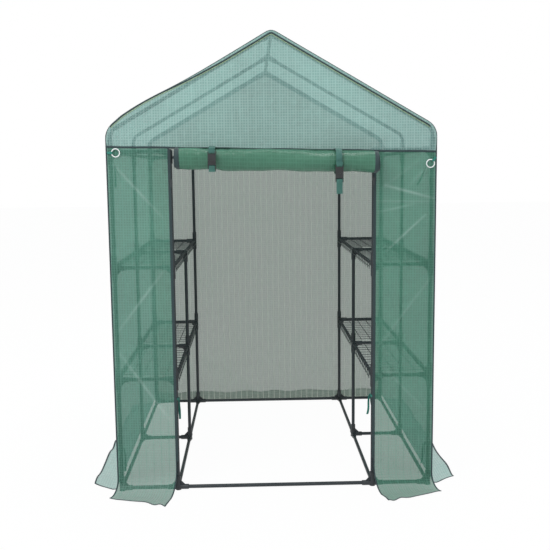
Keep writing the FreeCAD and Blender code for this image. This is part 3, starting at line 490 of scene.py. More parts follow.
def rounded_line(corners: list[tuple[tuple[float, ...], float]], step: float) -> np.ndarray:
    """A line through corners that are rounded, with points about a step apart.

    Args:
        corners: (point, bend radius) in order; the ends' radii aren't used.
        step: how far apart the points are.

    Returns:
        The points, one row each.
    """
    spots = [np.array(p, float) for p, _ in corners]
    line = [spots[0]]
    for i in range(1, len(spots) - 1):
        into = spots[i] - spots[i - 1]
        onward = spots[i + 1] - spots[i]
        into, onward = into / np.linalg.norm(into), onward / np.linalg.norm(onward)
        turn = math.acos(float(np.clip(into @ onward, -1, 1)))
        radius = corners[i][1]
        if turn < 1e-3 or radius <= 0:
            line.append(spots[i])
            continue
        start = spots[i] - into * radius * math.tan(turn / 2)
        inward = onward - into * (into @ onward)
        inward /= np.linalg.norm(inward)
        centre = start + inward * radius
        for a in np.linspace(0, turn, max(3, int(radius * turn / step) + 2)):
            line.append(centre - inward * radius * math.cos(a) + into * radius * math.sin(a))
    line.append(spots[-1])
    points = np.array(line)
    walked = np.r_[0, np.cumsum(np.linalg.norm(np.diff(points, axis=0), axis=1))]
    keep = np.r_[True, np.diff(walked) > 1e-9]
    points, walked = points[keep], walked[keep]
    even = np.linspace(0, walked[-1], max(2, round(walked[-1] / step) + 1))
    return np.stack([np.interp(even, walked, points[:, k]) for k in range(points.shape[1])], 1)


def length_of(line: np.ndarray) -> float:
    """The length of a line of points."""
    return float(np.linalg.norm(np.diff(line, axis=0), axis=1).sum())


def along_line(line: np.ndarray, share: np.ndarray) -> np.ndarray:
    """Points at shares from 0 to 1 of a line whose points are evenly spaced."""
    at = np.clip(share, 0, 1) * (len(line) - 1)
    return np.stack([np.interp(at, np.arange(len(line)), line[:, k]) for k in range(line.shape[1])], 1)


def hump(t: np.ndarray) -> np.ndarray:
    """0 at whole numbers and 1 half way between them, smoothly."""
    return np.sin(np.pi * t) ** 2


@dataclass(frozen=True)
class Fold:
    """One crease in a sheet: a ridge from one point of the flat cut to another."""

    start: tuple[float, float]
    end: tuple[float, float]
    wide: float
    high: float
    # pale: how pale the crease is painted, partly stress whitening and partly a painted highlight.
    pale: float = 0.6

    def reach(self, u: np.ndarray, v: np.ndarray) -> tuple[np.ndarray, np.ndarray]:
        """How far points of the cut are from the crease, and its strength beside them."""
        start, run = np.array(self.start), np.array(self.end) - np.array(self.start)
        t = np.clip(((u - start[0]) * run[0] + (v - start[1]) * run[1]) / (run @ run), 0, 1)
        off = np.hypot(u - start[0] - t * run[0], v - start[1] - t * run[1])
        return off, np.clip(1.15 - np.abs(t - 0.45) * 1.6, 0, 1)

    def height(self, u: np.ndarray, v: np.ndarray) -> np.ndarray:
        """The ridge's height at points of the cut."""
        off, fade = self.reach(u, v)
        valley = 0.35 * np.exp(-((off / self.wide / 2.2) ** 2))
        return self.high * fade * (np.exp(-off / self.wide) - valley)

    def mark(self, u: np.ndarray, v: np.ndarray) -> np.ndarray:
        """How pale the crease is painted, from 0 to 1: partly the sheet's stress whitening, partly a painted
        highlight along the crease.
        """
        off, fade = self.reach(u, v)
        return self.pale * fade * np.exp(-((off / (0.45 * self.wide)) ** 2))


@dataclass(frozen=True)
class Crumple:
    """How a sheet is crumpled: soft swells, small ridges, and creases where it was folded flat."""

    seed: int
    swell: float = 0.0025
    ridge: float = 0.0014
    press: float = 0.0012
    pressed_every: float = 0.31
    press_wide: float = 0.007
    folds: tuple[Fold, ...] = ()

    def height(self, u: np.ndarray, v: np.ndarray) -> np.ndarray:
        """Height of the crumpled sheet over the flat cut.

        Args:
            u: across the cut, in metres.
            v: along the cut, in metres.

        Returns:
            The heights, in metres.
        """
        draw = np.random.default_rng(self.seed)
        made = np.zeros_like(u)
        for wave in (0.62, 0.41, 0.27):
            a, phase = draw.uniform(0, math.pi), draw.uniform(0, 2 * math.pi)
            walked = u * math.cos(a) + v * math.sin(a)
            made += self.swell * np.sin(walked * 2 * math.pi / wave + phase) / 1.8
        for wave in (0.23, 0.17, 0.12, 0.09):
            a, phase = draw.uniform(0, math.pi), draw.uniform(0, 2 * math.pi)
            bent = u * math.cos(a) + v * math.sin(a) + 0.03 * np.sin((v - u) * 9 + phase)
            mask = 0.5 + 0.5 * np.sin(u * draw.uniform(3, 8) + v * draw.uniform(3, 8) + phase)
            made += self.ridge * mask * (0.6 - np.abs(np.sin(bent * math.pi / wave + phase)))
        for t, shift in ((u, 0.11), (v, 0.07)):
            turns = (t + shift) / self.pressed_every
            off = np.abs(turns - np.round(turns))
            made += self.press * np.exp(-off * self.pressed_every / self.press_wide)
        for fold in self.folds:
            made += fold.height(u, v)
        return made

    def marks(self, u: np.ndarray, v: np.ndarray) -> np.ndarray:
        """How pale the folds are painted, from 0 to 1: partly stress whitening, partly a painted highlight
        along each crease.
        """
        return np.clip(sum(fold.mark(u, v) for fold in self.folds) + np.zeros_like(u), 0, 1)


def deselect() -> None:
    """Nothing is selected, so that an operator acts on what is selected next."""
    if bpy.context.object is not None and bpy.context.object.mode != "OBJECT":
        bpy.ops.object.mode_set(mode="OBJECT")
    bpy.ops.object.select_all(action="DESELECT")


def edit(obj: bpy.types.Object) -> None:
    """Opens a piece in edit mode with all of it selected."""
    deselect()
    obj.select_set(True)
    bpy.context.view_layer.objects.active = obj
    bpy.ops.object.mode_set(mode="EDIT")
    bpy.ops.mesh.select_mode(type="VERT")
    bpy.ops.mesh.select_all(action="SELECT")


def close_edit() -> None:
    """Leaves edit mode."""
    bpy.ops.object.mode_set(mode="OBJECT")


def shape_with(obj: bpy.types.Object, kind: str, **settings: Any) -> None:
    """Adds a modifier to a piece and applies it.

    Args:
        obj: the piece.
        kind: the modifier's type.
        settings: its properties.
    """
    deselect()
    obj.select_set(True)
    bpy.context.view_layer.objects.active = obj
    modifier = obj.modifiers.new(kind.lower(), kind)
    for key, value in settings.items():
        setattr(modifier, key, value)
    bpy.ops.object.modifier_apply(modifier=modifier.name)


def dress(obj: bpy.types.Object, material: bpy.types.Material) -> bpy.types.Object:
    """Gives a piece its one material."""
    obj.data.materials.clear()
    obj.data.materials.append(material)
    return obj


def smooth(obj: bpy.types.Object, angle: float | None = None) -> None:
    """Shades a piece smooth, or only across edges under an angle in degrees."""
    deselect()
    obj.select_set(True)
    bpy.context.view_layer.objects.active = obj
    if angle is None:
        bpy.ops.object.shade_smooth()
    else:
        bpy.ops.object.shade_smooth_by_angle(angle=math.radians(angle))


@dataclass
class Cloth:
    """A grid of cloth that is laid by a rule from its flat cut to the frame.

    place takes shares u across and v along, from 0 to 1, and gives points in the frame.
    flat takes the same shares and gives the point of the cut, in metres.
    """

    name: str
    columns: int
    rows: int
    place: Place
    flat: Place
    outward_from: tuple[float, float, float] = (0.0, 0.0, 0.9)
    marks: Place | None = None

    def lay(self, material: bpy.types.Material) -> bpy.types.Object:
        """Makes the sheet, with its cut as a UV map.

        Args:
            material: its finish.

        Returns:
            The piece.
        """
        deselect()
        bpy.ops.mesh.primitive_grid_add(x_subdivisions=self.columns, y_subdivisions=self.rows, size=2)
        obj = bpy.context.object
        obj.name = obj.data.name = self.name
        mesh = obj.data
        spots = np.zeros(len(mesh.vertices) * 3, np.float32)
        mesh.vertices.foreach_get("co", spots)
        spots = spots.reshape(-1, 3).astype(float)
        u, v = (spots[:, 0] + 1) / 2, (spots[:, 1] + 1) / 2
        placed = self.place(u, v)
        mesh.vertices.foreach_set("co", placed.astype(np.float32).ravel())
        while mesh.uv_layers:
            mesh.uv_layers.remove(mesh.uv_layers[0])
        layer = mesh.uv_layers.new(name=CUT)
        corners = np.zeros(len(mesh.loops), np.int32)
        mesh.loops.foreach_get("vertex_index", corners)
        layer.data.foreach_set("uv", self.flat(u, v)[corners].astype(np.float32).ravel())
        # The crease attribute holds the painted paleness of the creases: partly stress whitening, partly a
        # painted highlight.
        if self.marks is not None:
            spread = self.flat(u, v)
            pressed = mesh.attributes.new(CREASE, "FLOAT", "POINT")
            pressed.data.foreach_set("value", self.marks(spread[:, 0], spread[:, 1]).astype(np.float32))
        mesh.update()
        middle = Vector(self.outward_from)
        away = sum((p.center - middle).dot(p.normal) * p.area for p in mesh.polygons)
        if away < 0:
            mesh.flip_normals()
        smooth(obj)
        return dress(obj, material)

    def edge(self, which: str, count: int) -> tuple[np.ndarray, np.ndarray, np.ndarray]:
        """One edge of the sheet.

        Args:
            which: "u0", "u1", "v0" or "v1".
            count: how many points it gets.

        Returns:
            Its points, the directions into the sheet, and those out of its face.
        """
        t, end = np.linspace(0, 1, count), float(which[1])
        inner = abs(end - 0.004)
        at, near = np.full(count, end), np.full(count, inner)
        pairs = ((at, t), (near, t)) if which[0] == "u" else ((t, at), (t, near))
        line, inside = (self.place(*pair) for pair in pairs)
        inward = inside - line
        inward /= np.linalg.norm(inward, axis=1)[:, None]
        run = np.gradient(line, axis=0)
        face = np.cross(run, inward)
        face /= np.linalg.norm(face, axis=1)[:, None]
        return line, inward, face


@dataclass
class Strip:
    """A solid strip of tape or cord: a closed section swept along a line."""

    name: str
    line: np.ndarray
    across: np.ndarray
    out: np.ndarray
    section: list[tuple[float, float]]

    def make(self, material: bpy.types.Material) -> bpy.types.Object:
        """Makes the strip with closed ends.

        Args:
            material: its finish.

        Returns:
            The piece.
        """
        loop = np.array([*self.section, self.section[0]])
        round_it = np.r_[0, np.cumsum(np.linalg.norm(np.diff(loop, axis=0), axis=1))]
        walked = np.r_[0, np.cumsum(np.linalg.norm(np.diff(self.line, axis=0), axis=1))]
        count = len(self.line)

        def place(u: np.ndarray, v: np.ndarray) -> np.ndarray:
            """Points of the swept section."""
            i = np.round(v * (count - 1)).astype(int)
            k = np.round(u * (len(loop) - 1)).astype(int)
            return self.line[i] + self.across[i] * loop[k, :1] + self.out[i] * loop[k, 1:]

        def flat(u: np.ndarray, v: np.ndarray) -> np.ndarray:
            """Round the section and along the line, in metres."""
            i = np.round(v * (count - 1)).astype(int)
            k = np.round(u * (len(loop) - 1)).astype(int)
            return np.stack([round_it[k], walked[i]], 1)

        cloth = Cloth(self.name, len(loop) - 1, count - 1, place, flat)
        obj = cloth.lay(material)
        edit(obj)
        bpy.ops.mesh.remove_doubles(threshold=1e-6)
        bpy.ops.mesh.select_all(action="DESELECT")
        bpy.ops.mesh.select_non_manifold(extend=False, use_multi_face=False)
        bpy.ops.mesh.fill_holes(sides=0)
        bpy.ops.mesh.select_all(action="SELECT")
        bpy.ops.mesh.normals_make_consistent(inside=False)
        close_edit()
        smooth(obj, 40.0)
        return obj


def tape_section(wide: float, thick: float, start: float = 0.0) -> list[tuple[float, float]]:
    """The section of a tape with softened edges, from start across its width."""
    lip, half = min(thick * 0.7, wide / 4), thick / 2
    end = start + wide
    return [
        (start, -half * 0.4),
        (start + lip, -half),
        (end - lip, -half),
        (end, -half * 0.4),
        (end, half * 0.4),
        (end - lip, half),
        (start + wide * 0.5, half * 1.12),
        (start + lip, half),
        (start, half * 0.4),
    ]


def round_section(radius: float, count: int = 8) -> list[tuple[float, float]]:
    """The section of a round cord."""
    turns = [2 * math.pi * i / count for i in range(count)]
    return [(radius * math.cos(a), radius * math.sin(a)) for a in turns]


def flat_line_frames(line: np.ndarray, across: tuple[float, float, float]) -> tuple[np.ndarray, np.ndarray]:
    """Directions for a strip whose width always lies along one direction.

    Args:
        line: the strip's middle line.
        across: the direction of its width.

    Returns:
        The width's direction and the face's direction at each point.
    """
    wide = np.tile(np.array(across, float), (len(line), 1))
    face = np.cross(np.gradient(line, axis=0), wide)
    face /= np.linalg.norm(face, axis=1)[:, None]
    return wide, face


def keep(obj: bpy.types.Object, body: str, slot: str, *nodes: str) -> bpy.types.Object:
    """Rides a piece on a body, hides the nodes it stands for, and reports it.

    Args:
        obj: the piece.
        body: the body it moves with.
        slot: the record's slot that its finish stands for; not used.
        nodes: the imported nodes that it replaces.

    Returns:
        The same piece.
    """
    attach(obj, body)
    if nodes:
        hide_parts(*nodes)
    LOG.info("%s: %d faces, with %s", obj.name, len(obj.data.polygons), body)
    return obj


# ------------------------------------------------------------------ the house


@dataclass(frozen=True)
class House:
    """Sizes that the cover's pieces share, in metres."""

    wall: float = 0.6885
    post: float = 0.672
    aisle: float = 0.427
    door: float = 0.430
    base: float = 0.012
    level: float = 0.485
    eave_corner: float = 1.5615
    apex: float = 1.959
    eave_round: float = 0.070
    apex_round: float = 0.030
    header: float = 1.4725
    header_tilt: float = -0.016
    bulge: float = 0.017
    skirt: float = 0.118
    skirt_cut: float = 0.084
    ground: float = 0.0022

    def header_at(self, x: np.ndarray | float) -> Any:
        """Height of the seam over the door at a place across the front."""
        return self.header + self.header_tilt * x / self.wall

    def roof_at(self, x: np.ndarray) -> np.ndarray:
        """Height of the roof's sheet over a place across the house."""
        size = np.abs(x)
        slope = math.atan2(self.apex - self.eave_corner, self.wall)
        turn = math.pi / 2 - slope
        r = self.eave_round
        middle_x = self.wall - r
        middle_z = self.eave_corner - r * math.tan(turn / 2)
        straight = self.apex - size * math.tan(slope)
        bent = middle_z + np.sqrt(np.clip(r * r - (size - middle_x) ** 2, 0, None))
        joined = np.where(size > middle_x + r * math.sin(slope), bent, straight)
        top = self.apex - self.apex_round / math.cos(slope)
        peak = top + np.sqrt(np.clip(self.apex_round**2 - size**2, 0, None))
        return np.where(size < self.apex_round * math.sin(slope), peak, joined)

    def bulge_at(self, x: np.ndarray) -> np.ndarray:
        """How far the cloth stands off the left of the front arch."""
        clear = np.clip((self.wall - np.abs(x)) / 0.07, 0, 1)
        return self.bulge * clear * np.exp(-(((x + 0.55) / 0.15) ** 2))

    def line(self, step: float = 0.014) -> np.ndarray:
        """The roof and the sides as one line from skirt to skirt, as (x, z)."""
        out = self.wall + self.skirt
        return rounded_line(
            [
                ((-out, self.ground), 0),
                ((-self.wall, self.ground), 0.028),
                ((-self.wall, self.eave_corner), self.eave_round),
                ((0.0, self.apex), self.apex_round),
                ((self.wall, self.eave_corner), self.eave_round),
                ((self.wall, self.ground), 0.028),
                ((out, self.ground), 0),
            ],
            step,
        )


@dataclass
class RoofAndSides:
    """One sheet over the roof and down both sides, with a skirt on the ground at each side."""

    house: House
    crumple: Crumple = Crumple(11, 0.0026, 0.0016, 0.0016)

    def place(self, u: np.ndarray, v: np.ndarray) -> np.ndarray:
        """Points of the sheet; u runs from front to back and v from skirt to skirt."""
        h = self.house
        line = h.line()
        at = along_line(line, v)
        run = along_line(np.gradient(line, axis=0), v)
        out = np.stack([-run[:, 1], run[:, 0]], 1) / np.linalg.norm(run, axis=1)[:, None]
        x, z = at[:, 0], at[:, 1]
        skirt = np.clip((np.abs(x) - h.wall) / h.skirt, 0, 1)
        y = (2 * u - 1) * (h.wall - h.skirt_cut * skirt)
        bays = hump(y / h.post)
        edges = np.clip((h.wall - np.abs(y)) / 0.05, 0, 1)
        on_roof = np.clip((z - 1.57) / 0.06, 0, 1)
        down = np.clip(1 - np.abs(x) / h.wall, 0, 1)
        sag = -0.013 * bays * on_roof * hump(down * 0.96 + 0.02)
        swing = np.sin(y * 4.1 + np.sign(x) * 1.3 + z * 2.2)
        wall = (1 - on_roof) * (skirt <= 0) * hump((z - h.base) / h.level) * bays
        sag += 0.0065 * wall * swing
        length = v * length_of(line)
        crumple = self.crumple.height(y, length)
        loose = 0.35 + 0.65 * np.maximum(bays * on_roof, wall)
        lift = sag + crumple * loose * np.clip(edges + 0.2, 0, 1)
        lift = np.where(on_roof > 0, lift, np.maximum(lift, -0.001))
        lift = lift + 0.87 * h.bulge_at(x) * (z > 1.50) * np.clip(-(y + 0.25) / 0.4, 0, 1)
        x, z = x + out[:, 0] * lift * (skirt <= 0), z + out[:, 1] * lift * (skirt <= 0)
        ripple = 0.5 + 0.5 * np.sin(y * 31 + np.sign(x) * 2 + 2 * np.sin(y * 9))
        z = z + 0.012 * ripple * skirt**1.5 + 0.002 * skirt
        return np.stack([x, y, np.maximum(z, h.ground)], 1)

    def make(self, finishes: Finishes) -> list[bpy.types.Object]:
        """Makes the sheet and the binding round it.

        Args:
            finishes: the object's finishes.

        Returns:
            The pieces.
        """
        h = self.house
        long, wide = length_of(h.line()), 2 * h.wall

        def flat(u: np.ndarray, v: np.ndarray) -> np.ndarray:
            """Points of the cut."""
            return np.stack([u * wide, v * long], 1)

        cloth = Cloth("roof_and_sides_sheet", 96, 340, self.place, flat)
        sheet = cloth.lay(finishes.roof)
        keep(sheet, ROOT, "cover_fabric", "roof_cover", "left_wall", "right_wall")
        made = [
            *bind_edges(cloth, {"u0": 420, "u1": 420, "v0": 70, "v1": 70}, "roof_and_sides", finishes, 0.008),
        ]
        return [sheet, *made]


def bind_edges(
    cloth: Cloth,
    edges: dict[str, int],
    name: str,
    finishes: Finishes,
    wide: float,
    body: str = ROOT,
    thick: float = 0.0026,
) -> list[bpy.types.Object]:
    """Dark tape folded over edges of a sheet.

    Args:
        cloth: the sheet.
        edges: how many points each edge's tape has, by edge.
        name: what the tapes are named after.
        finishes: the object's finishes.
        wide: how far a tape reaches into the sheet.
        body: what the tapes ride on.
        thick: a tape's thickness, the sheet included.

    Returns:
        The tapes.
    """
    words = {"u0": "start", "u1": "end", "v0": "low", "v1": "high"}
    made = []
    for which, count in edges.items():
        line, inward, face = cloth.edge(which, count)
        section = tape_section(wide, thick, -FOLD_OUT)
        strip = Strip(f"{name}_{words[which]}_binding", line, inward, face, section)
        made.append(keep(strip.make(finishes.binding), body, "binding"))
    return made


@dataclass
class EndSheet:
    """The back wall, or the gable over the door: a flat end of the house."""

    house: House
    name: str
    y: float
    crumple: Crumple
    skirt: float = 0.0
    columns: int = 100
    rows: int = 130

    def low(self, x: np.ndarray) -> np.ndarray:
        """Where the upright part starts."""
        if self.skirt:
            return np.full_like(x, self.house.ground)
        return self.house.header_at(x)

    def high(self, x: np.ndarray) -> np.ndarray:
        """Where the upright part ends, under the roof."""
        return self.house.roof_at(x) + (0.0 if self.skirt else self.house.bulge_at(x))

    def inset(self, x: np.ndarray) -> np.ndarray:
        """How far inside the edge the arch's tape is sewn."""
        return 0.0025 + 0.010 * np.clip((x + 0.45) / 0.25, 0, 1)

    def flat(self, u: np.ndarray, v: np.ndarray) -> np.ndarray:
        """Points of the cut."""
        h = self.house
        x = (2 * u - 1) * h.wall
        low, top = self.low(x), self.high(x)
        reach = self.skirt
        rise = v * (top - low + reach) - reach
        return np.stack([x, low + rise], 1)

    def place(self, u: np.ndarray, v: np.ndarray) -> np.ndarray:
        """Points of the sheet; u runs across and v from the skirt's hem to the roof."""
        h = self.house
        away = math.copysign(1, self.y)
        cut = self.flat(u, v)
        x, rise = cut[:, 0], cut[:, 1]
        low, top = self.low(x), self.high(x)
        bend = 0.035 if self.skirt else 0.0
        up = rise - low
        z = low + np.where(up > bend, up, 0)
        y = np.full_like(x, self.y)
        if self.skirt:
            angle = np.clip((bend - up) / bend, 0, math.pi / 2)
            on_bend = (up <= bend) & (angle < math.pi / 2)
            z = np.where(on_bend, h.ground + bend * (1 - np.sin(angle)), z)
            past = np.clip(-(up - bend + bend * math.pi / 2), 0, None)
            z = np.where((up <= bend) & ~on_bend, h.ground, z)
            y = y + away * np.where(on_bend, bend * (1 - np.cos(angle)), np.where(up <= bend, bend + past, 0))
            share = past / max(self.skirt, 1e-6)
            x = x * (1 + 0.036 * share)
            z = z + share**1.3 * 0.011 * (0.5 + 0.5 * np.sin(cut[:, 0] * 27 + 1.5 * np.sin(cut[:, 0] * 8)))
        side, under = h.wall - np.abs(cut[:, 0]), np.clip(top - z, 0, None)
        edge = np.minimum.reduce([side, under, np.full_like(x, 0.05)])
        calm = np.clip(edge / 0.05, 0, 1) * (up > bend)
        bays = hump((z - h.base) / h.level)
        lift = self.crumple.height(x, z) * calm * (0.4 + 0.6 * bays)
        return np.stack([x, y + away * lift, z], 1)

    def make(self, finishes: Finishes) -> list[bpy.types.Object]:
        """Makes the sheet, its bindings and, over the door, the seam and the pale piping.

        Args:
            finishes: the object's finishes.

        Returns:
            The pieces.
        """
        h = self.house
        back = bool(self.skirt)
        cloth = Cloth(f"{self.name}_sheet", self.columns, self.rows, self.place, self.flat)
        node = "back_wall" if back else "front_gable_panel"
        sheet = keep(cloth.lay(finishes.back if back else finishes.gable), ROOT, "cover_fabric", node)
        edges = {"u0": 130, "u1": 130}
        if back:
            edges.update({"v0": 90, "v1": 200})
        made = bind_edges(cloth, edges, self.name, finishes, 0.012 if back else 0.006)
        x = np.linspace(-h.wall, h.wall, 401)
        cut_area = float(np.trapz(h.roof_at(x) - self.low(x) + self.skirt, x))
        if not back:
            made += [self.seam(finishes), self.arch(finishes), self.piping(finishes)]
        return [sheet, *made]

    def seam(self, finishes: Finishes) -> bpy.types.Object:
        """The dark tape over the seam above the door."""
        h = self.house
        x = np.linspace(-h.wall, h.wall, 120)
        line = np.stack([x, np.full_like(x, self.y - 0.0009), h.header_at(x) + 0.0008 * np.sin(x * 23)], 1)
        across = np.tile([0.0, 0.0, 1.0], (len(x), 1))
        out = np.tile([0.0, -1.0, 0.0], (len(x), 1))
        strip = Strip("header_seam_tape", line, across, out, tape_section(0.008, 0.0022, -0.004))
        return keep(strip.make(finishes.binding), ROOT, "binding")

    def arch_line(self, deeper: float, out: float) -> np.ndarray:
        """A line just inside the arch.

        Args:
            deeper: how far inside the tape's outer edge.
            out: how far in front of the sheet.

        Returns:
            The points, from left to right.
        """
        h = self.house
        x = np.linspace(-h.wall, h.wall, 300)
        top = np.stack([x, self.high(x)], 1)
        run = np.gradient(top, axis=0)
        inward = np.stack([run[:, 1], -run[:, 0]], 1) / np.linalg.norm(run, axis=1)[:, None]
        spots = top + inward * (self.inset(x) + deeper)[:, None]
        return np.stack([spots[:, 0], np.full_like(x, self.y - out), spots[:, 1]], 1)[4:-4]

    def arch(self, finishes: Finishes) -> bpy.types.Object:
        """The dark tape sewn round the arch."""
        line = self.arch_line(0.0, 0.0009)
        across, out = flat_line_frames(line, (0.0, -1.0, 0.0))
        strip = Strip("gable_arch_tape", line, out, across, tape_section(0.006, 0.0022, -0.003))
        return keep(strip.make(finishes.binding), ROOT, "binding")

    def piping(self, finishes: Finishes) -> bpy.types.Object:
        """A thin pale cord just inside the gable's binding."""
        line = self.arch_line(0.0055, 0.0012)
        across, out = flat_line_frames(line, (0.0, 1.0, 0.0))
        strip = Strip("gable_piping", line, across, out, round_section(0.0011, 6))
        return keep(strip.make(finishes.piping), ROOT, "cover_fabric")


@dataclass
class FrontPanel:
    """A panel beside the door, with a flap that lies forward on the ground."""

    house: House
    side: Side
    crumple: Crumple
    door_reach: float = 0.176
    side_reach: float = 0.078
    door_shift: float = 0.036
    side_shift: float = 0.024
    door_bend: float = 0.100
    side_bend: float = 0.060

    def parts(self, u: np.ndarray) -> tuple[np.ndarray, ...]:
        """For places across the panel: x, reach, shift, bend, and the cut's whole length."""
        h = self.house
        x = h.door + (h.wall - h.door) * u
        reach = self.door_reach + (self.side_reach - self.door_reach) * u
        shift = self.door_shift + (self.side_shift - self.door_shift) * u
        bend = self.door_bend + (self.side_bend - self.door_bend) * u
        tall = h.header_at(self.side.value * x) - h.ground - bend
        whole = tall + bend * math.pi / 2 + np.maximum(np.hypot(reach, shift) - bend, 0.004)
        return x, reach, shift, bend, tall, whole

    def flat(self, u: np.ndarray, v: np.ndarray) -> np.ndarray:
        """Points of the cut, down from the seam."""
        x, *_, whole = self.parts(u)
        return np.stack([self.side.value * x, self.house.header - v * whole], 1)

    def place(self, u: np.ndarray, v: np.ndarray) -> np.ndarray:
        """Points of the panel; u runs from the door to the corner and v down from the seam."""
        h = self.house
        x, reach, shift, bend, tall, whole = self.parts(u)
        down = v * whole
        angle = np.clip((down - tall) / bend, 0, math.pi / 2)
        past = np.clip(down - tall - bend * math.pi / 2, 0, None)
        forward = bend * (1 - np.cos(angle)) + past
        upright = h.header_at(self.side.value * x) - down
        z = np.where(down <= tall, upright, h.ground + bend * (1 - np.sin(angle)))
        stray = forward / np.hypot(reach, shift)
        on_ground = np.clip(past / 0.05, 0, 1)
        wave = 0.5 + 0.5 * np.sin(u * 17 + self.side.value * 1.2 + 3 * np.sin(u * 5))
        z = z + 0.007 * on_ground * wave + 0.001 * on_ground
        y = -h.wall - forward * reach / np.hypot(reach, shift)
        spread = (x + shift * stray) * self.side.value
        edge = np.minimum(np.minimum(u, 1 - u) * (h.wall - h.door), np.clip(down, 0, 0.05))
        calm = np.clip(edge / 0.03 + 0.12, 0, 1) * (1 - np.clip((down - tall) / 0.05, 0, 1))
        cut = self.flat(u, v)
        bays = hump((z - h.base) / h.level)
        lift = self.crumple.height(cut[:, 0], cut[:, 1]) * calm * (0.45 + 0.55 * bays)
        return np.stack([spread, y - np.maximum(lift, -0.0035), z], 1)

    def make(self, finishes: Finishes) -> list[bpy.types.Object]:
        """Makes the panel and its bindings.

        Args:
            finishes: the object's finishes.

        Returns:
            The pieces.
        """
        name = f"front_{self.side.word}"
        cloth = Cloth(f"{name}_sheet", 60, 330, self.place, self.flat, marks=self.crumple.marks)
        finish = finishes.panel if self.side is Side.LEFT else finishes.far_panel
        sheet = keep(cloth.lay(finish), ROOT, "cover_fabric", f"{name}_panel")
        made = bind_edges(cloth, {"u0": 260, "u1": 260, "v1": 40}, name, finishes, 0.006)
        u = np.linspace(0, 1, 50)
        whole = self.parts(u)[-1]
        return [sheet, *made]


# ------------------------------------------------------------------ door, webbing and trim


@dataclass
class RolledDoor:
    """The door: it hangs from the seam and is rolled outwards into a loose roll."""

    house: House
    left: float = -0.401
    right: float = 0.437
    radius: float = 0.050
    middle_y: float = -0.7425
    middle_z: float = 1.4262
    core: float = 0.009
    turns: float = 7.5
    straps: tuple[float, float] = (-0.247, 0.268)

    def middle(self, x: np.ndarray) -> np.ndarray:
        """Height of the roll's middle: a little lower to the right."""
        return self.middle_z - 0.0120 * (x - 0.02) / 0.41

    def line(self) -> np.ndarray:
        """The rolled sheet seen from its end, as (y, z) from the roll's middle."""
        turn = np.linspace(0, self.turns * 2 * math.pi, int(self.turns * 30))
        size = self.radius - 0.0012 - (self.radius - self.core) * (turn / turn[-1]) ** 0.93
        roll = np.stack([size * np.cos(turn), -size * np.sin(turn)], 1)
        drop = np.linspace(0.0505, 0.004, 9)[:, None]
        hang = np.concatenate([np.full_like(drop, self.radius - 0.0005), drop], 1)
        return np.concatenate([hang, roll])

    def place(self, u: np.ndarray, v: np.ndarray) -> np.ndarray:
        """Points of the rolled sheet; u runs from left to right and v from the seam inwards."""
        line = self.line()
        at = along_line(line, v)
        x = self.left + (self.right - self.left) * u
        size = np.hypot(at[:, 0], at[:, 1])
        angle = np.arctan2(at[:, 1], at[:, 0])
        pinch = sum(np.exp(-(((x - s) / 0.030) ** 2)) for s in self.straps)
        outer = np.clip((size - 0.02) / 0.02, 0, 1)
        rolled = v > 9 / len(line)
        wander = 0.0016 * np.sin(x * 19 + angle) + 0.0012 * np.sin(x * 43 - angle * 2)
        wander = wander + 0.0024 * np.cos(3 * angle + 1.6 * np.sin(x * 6.5) + 0.6) - 0.0012
        pull = np.exp(-(((x - self.straps[0]) / 0.09) ** 2)) + np.exp(-(((x - self.straps[1]) / 0.09) ** 2))
        folds = 0.0011 * np.abs(np.sin(x * 61 + 2 * angle)) * pull
        change = (-0.0012 - 0.0035 * pinch + wander * (1 - pinch) - folds) * outer * rolled
        y = self.middle_y + at[:, 0] + np.cos(angle) * change
        z = self.middle(x) + at[:, 1] + np.sin(angle) * change
        z = np.where(rolled, z, np.minimum(z, self.house.header_at(x)))
        stagger = 0.004 * (1 + np.sin(v * 23)) * rolled * outer
        x = x + stagger * (1 - 2 * u) * np.abs(2 * u - 1) ** 5
        return np.stack([x, y, z], 1)

    def make(self, finishes: Finishes) -> list[bpy.types.Object]:
        """Makes the roll and the tape on its two side edges.

        Args:
            finishes: the object's finishes.

        Returns:
            The pieces.
        """
        wide, long = self.right - self.left, length_of(self.line())

        def flat(u: np.ndarray, v: np.ndarray) -> np.ndarray:
            """Points of the cut."""
            return np.stack([u * wide, v * long], 1)

        middle = (0.02, self.middle_y, self.middle_z)
        cloth = Cloth("rolled_door_sheet", 110, len(self.line()) - 1, self.place, flat, middle)
        sheet = keep(cloth.lay(finishes.door), ROLL, "cover_fabric", "door_roll")
        made = bind_edges(cloth, {"u0": 300, "u1": 300}, "rolled_door", finishes, 0.015, ROLL, 0.0022)
        return [sheet, *made]


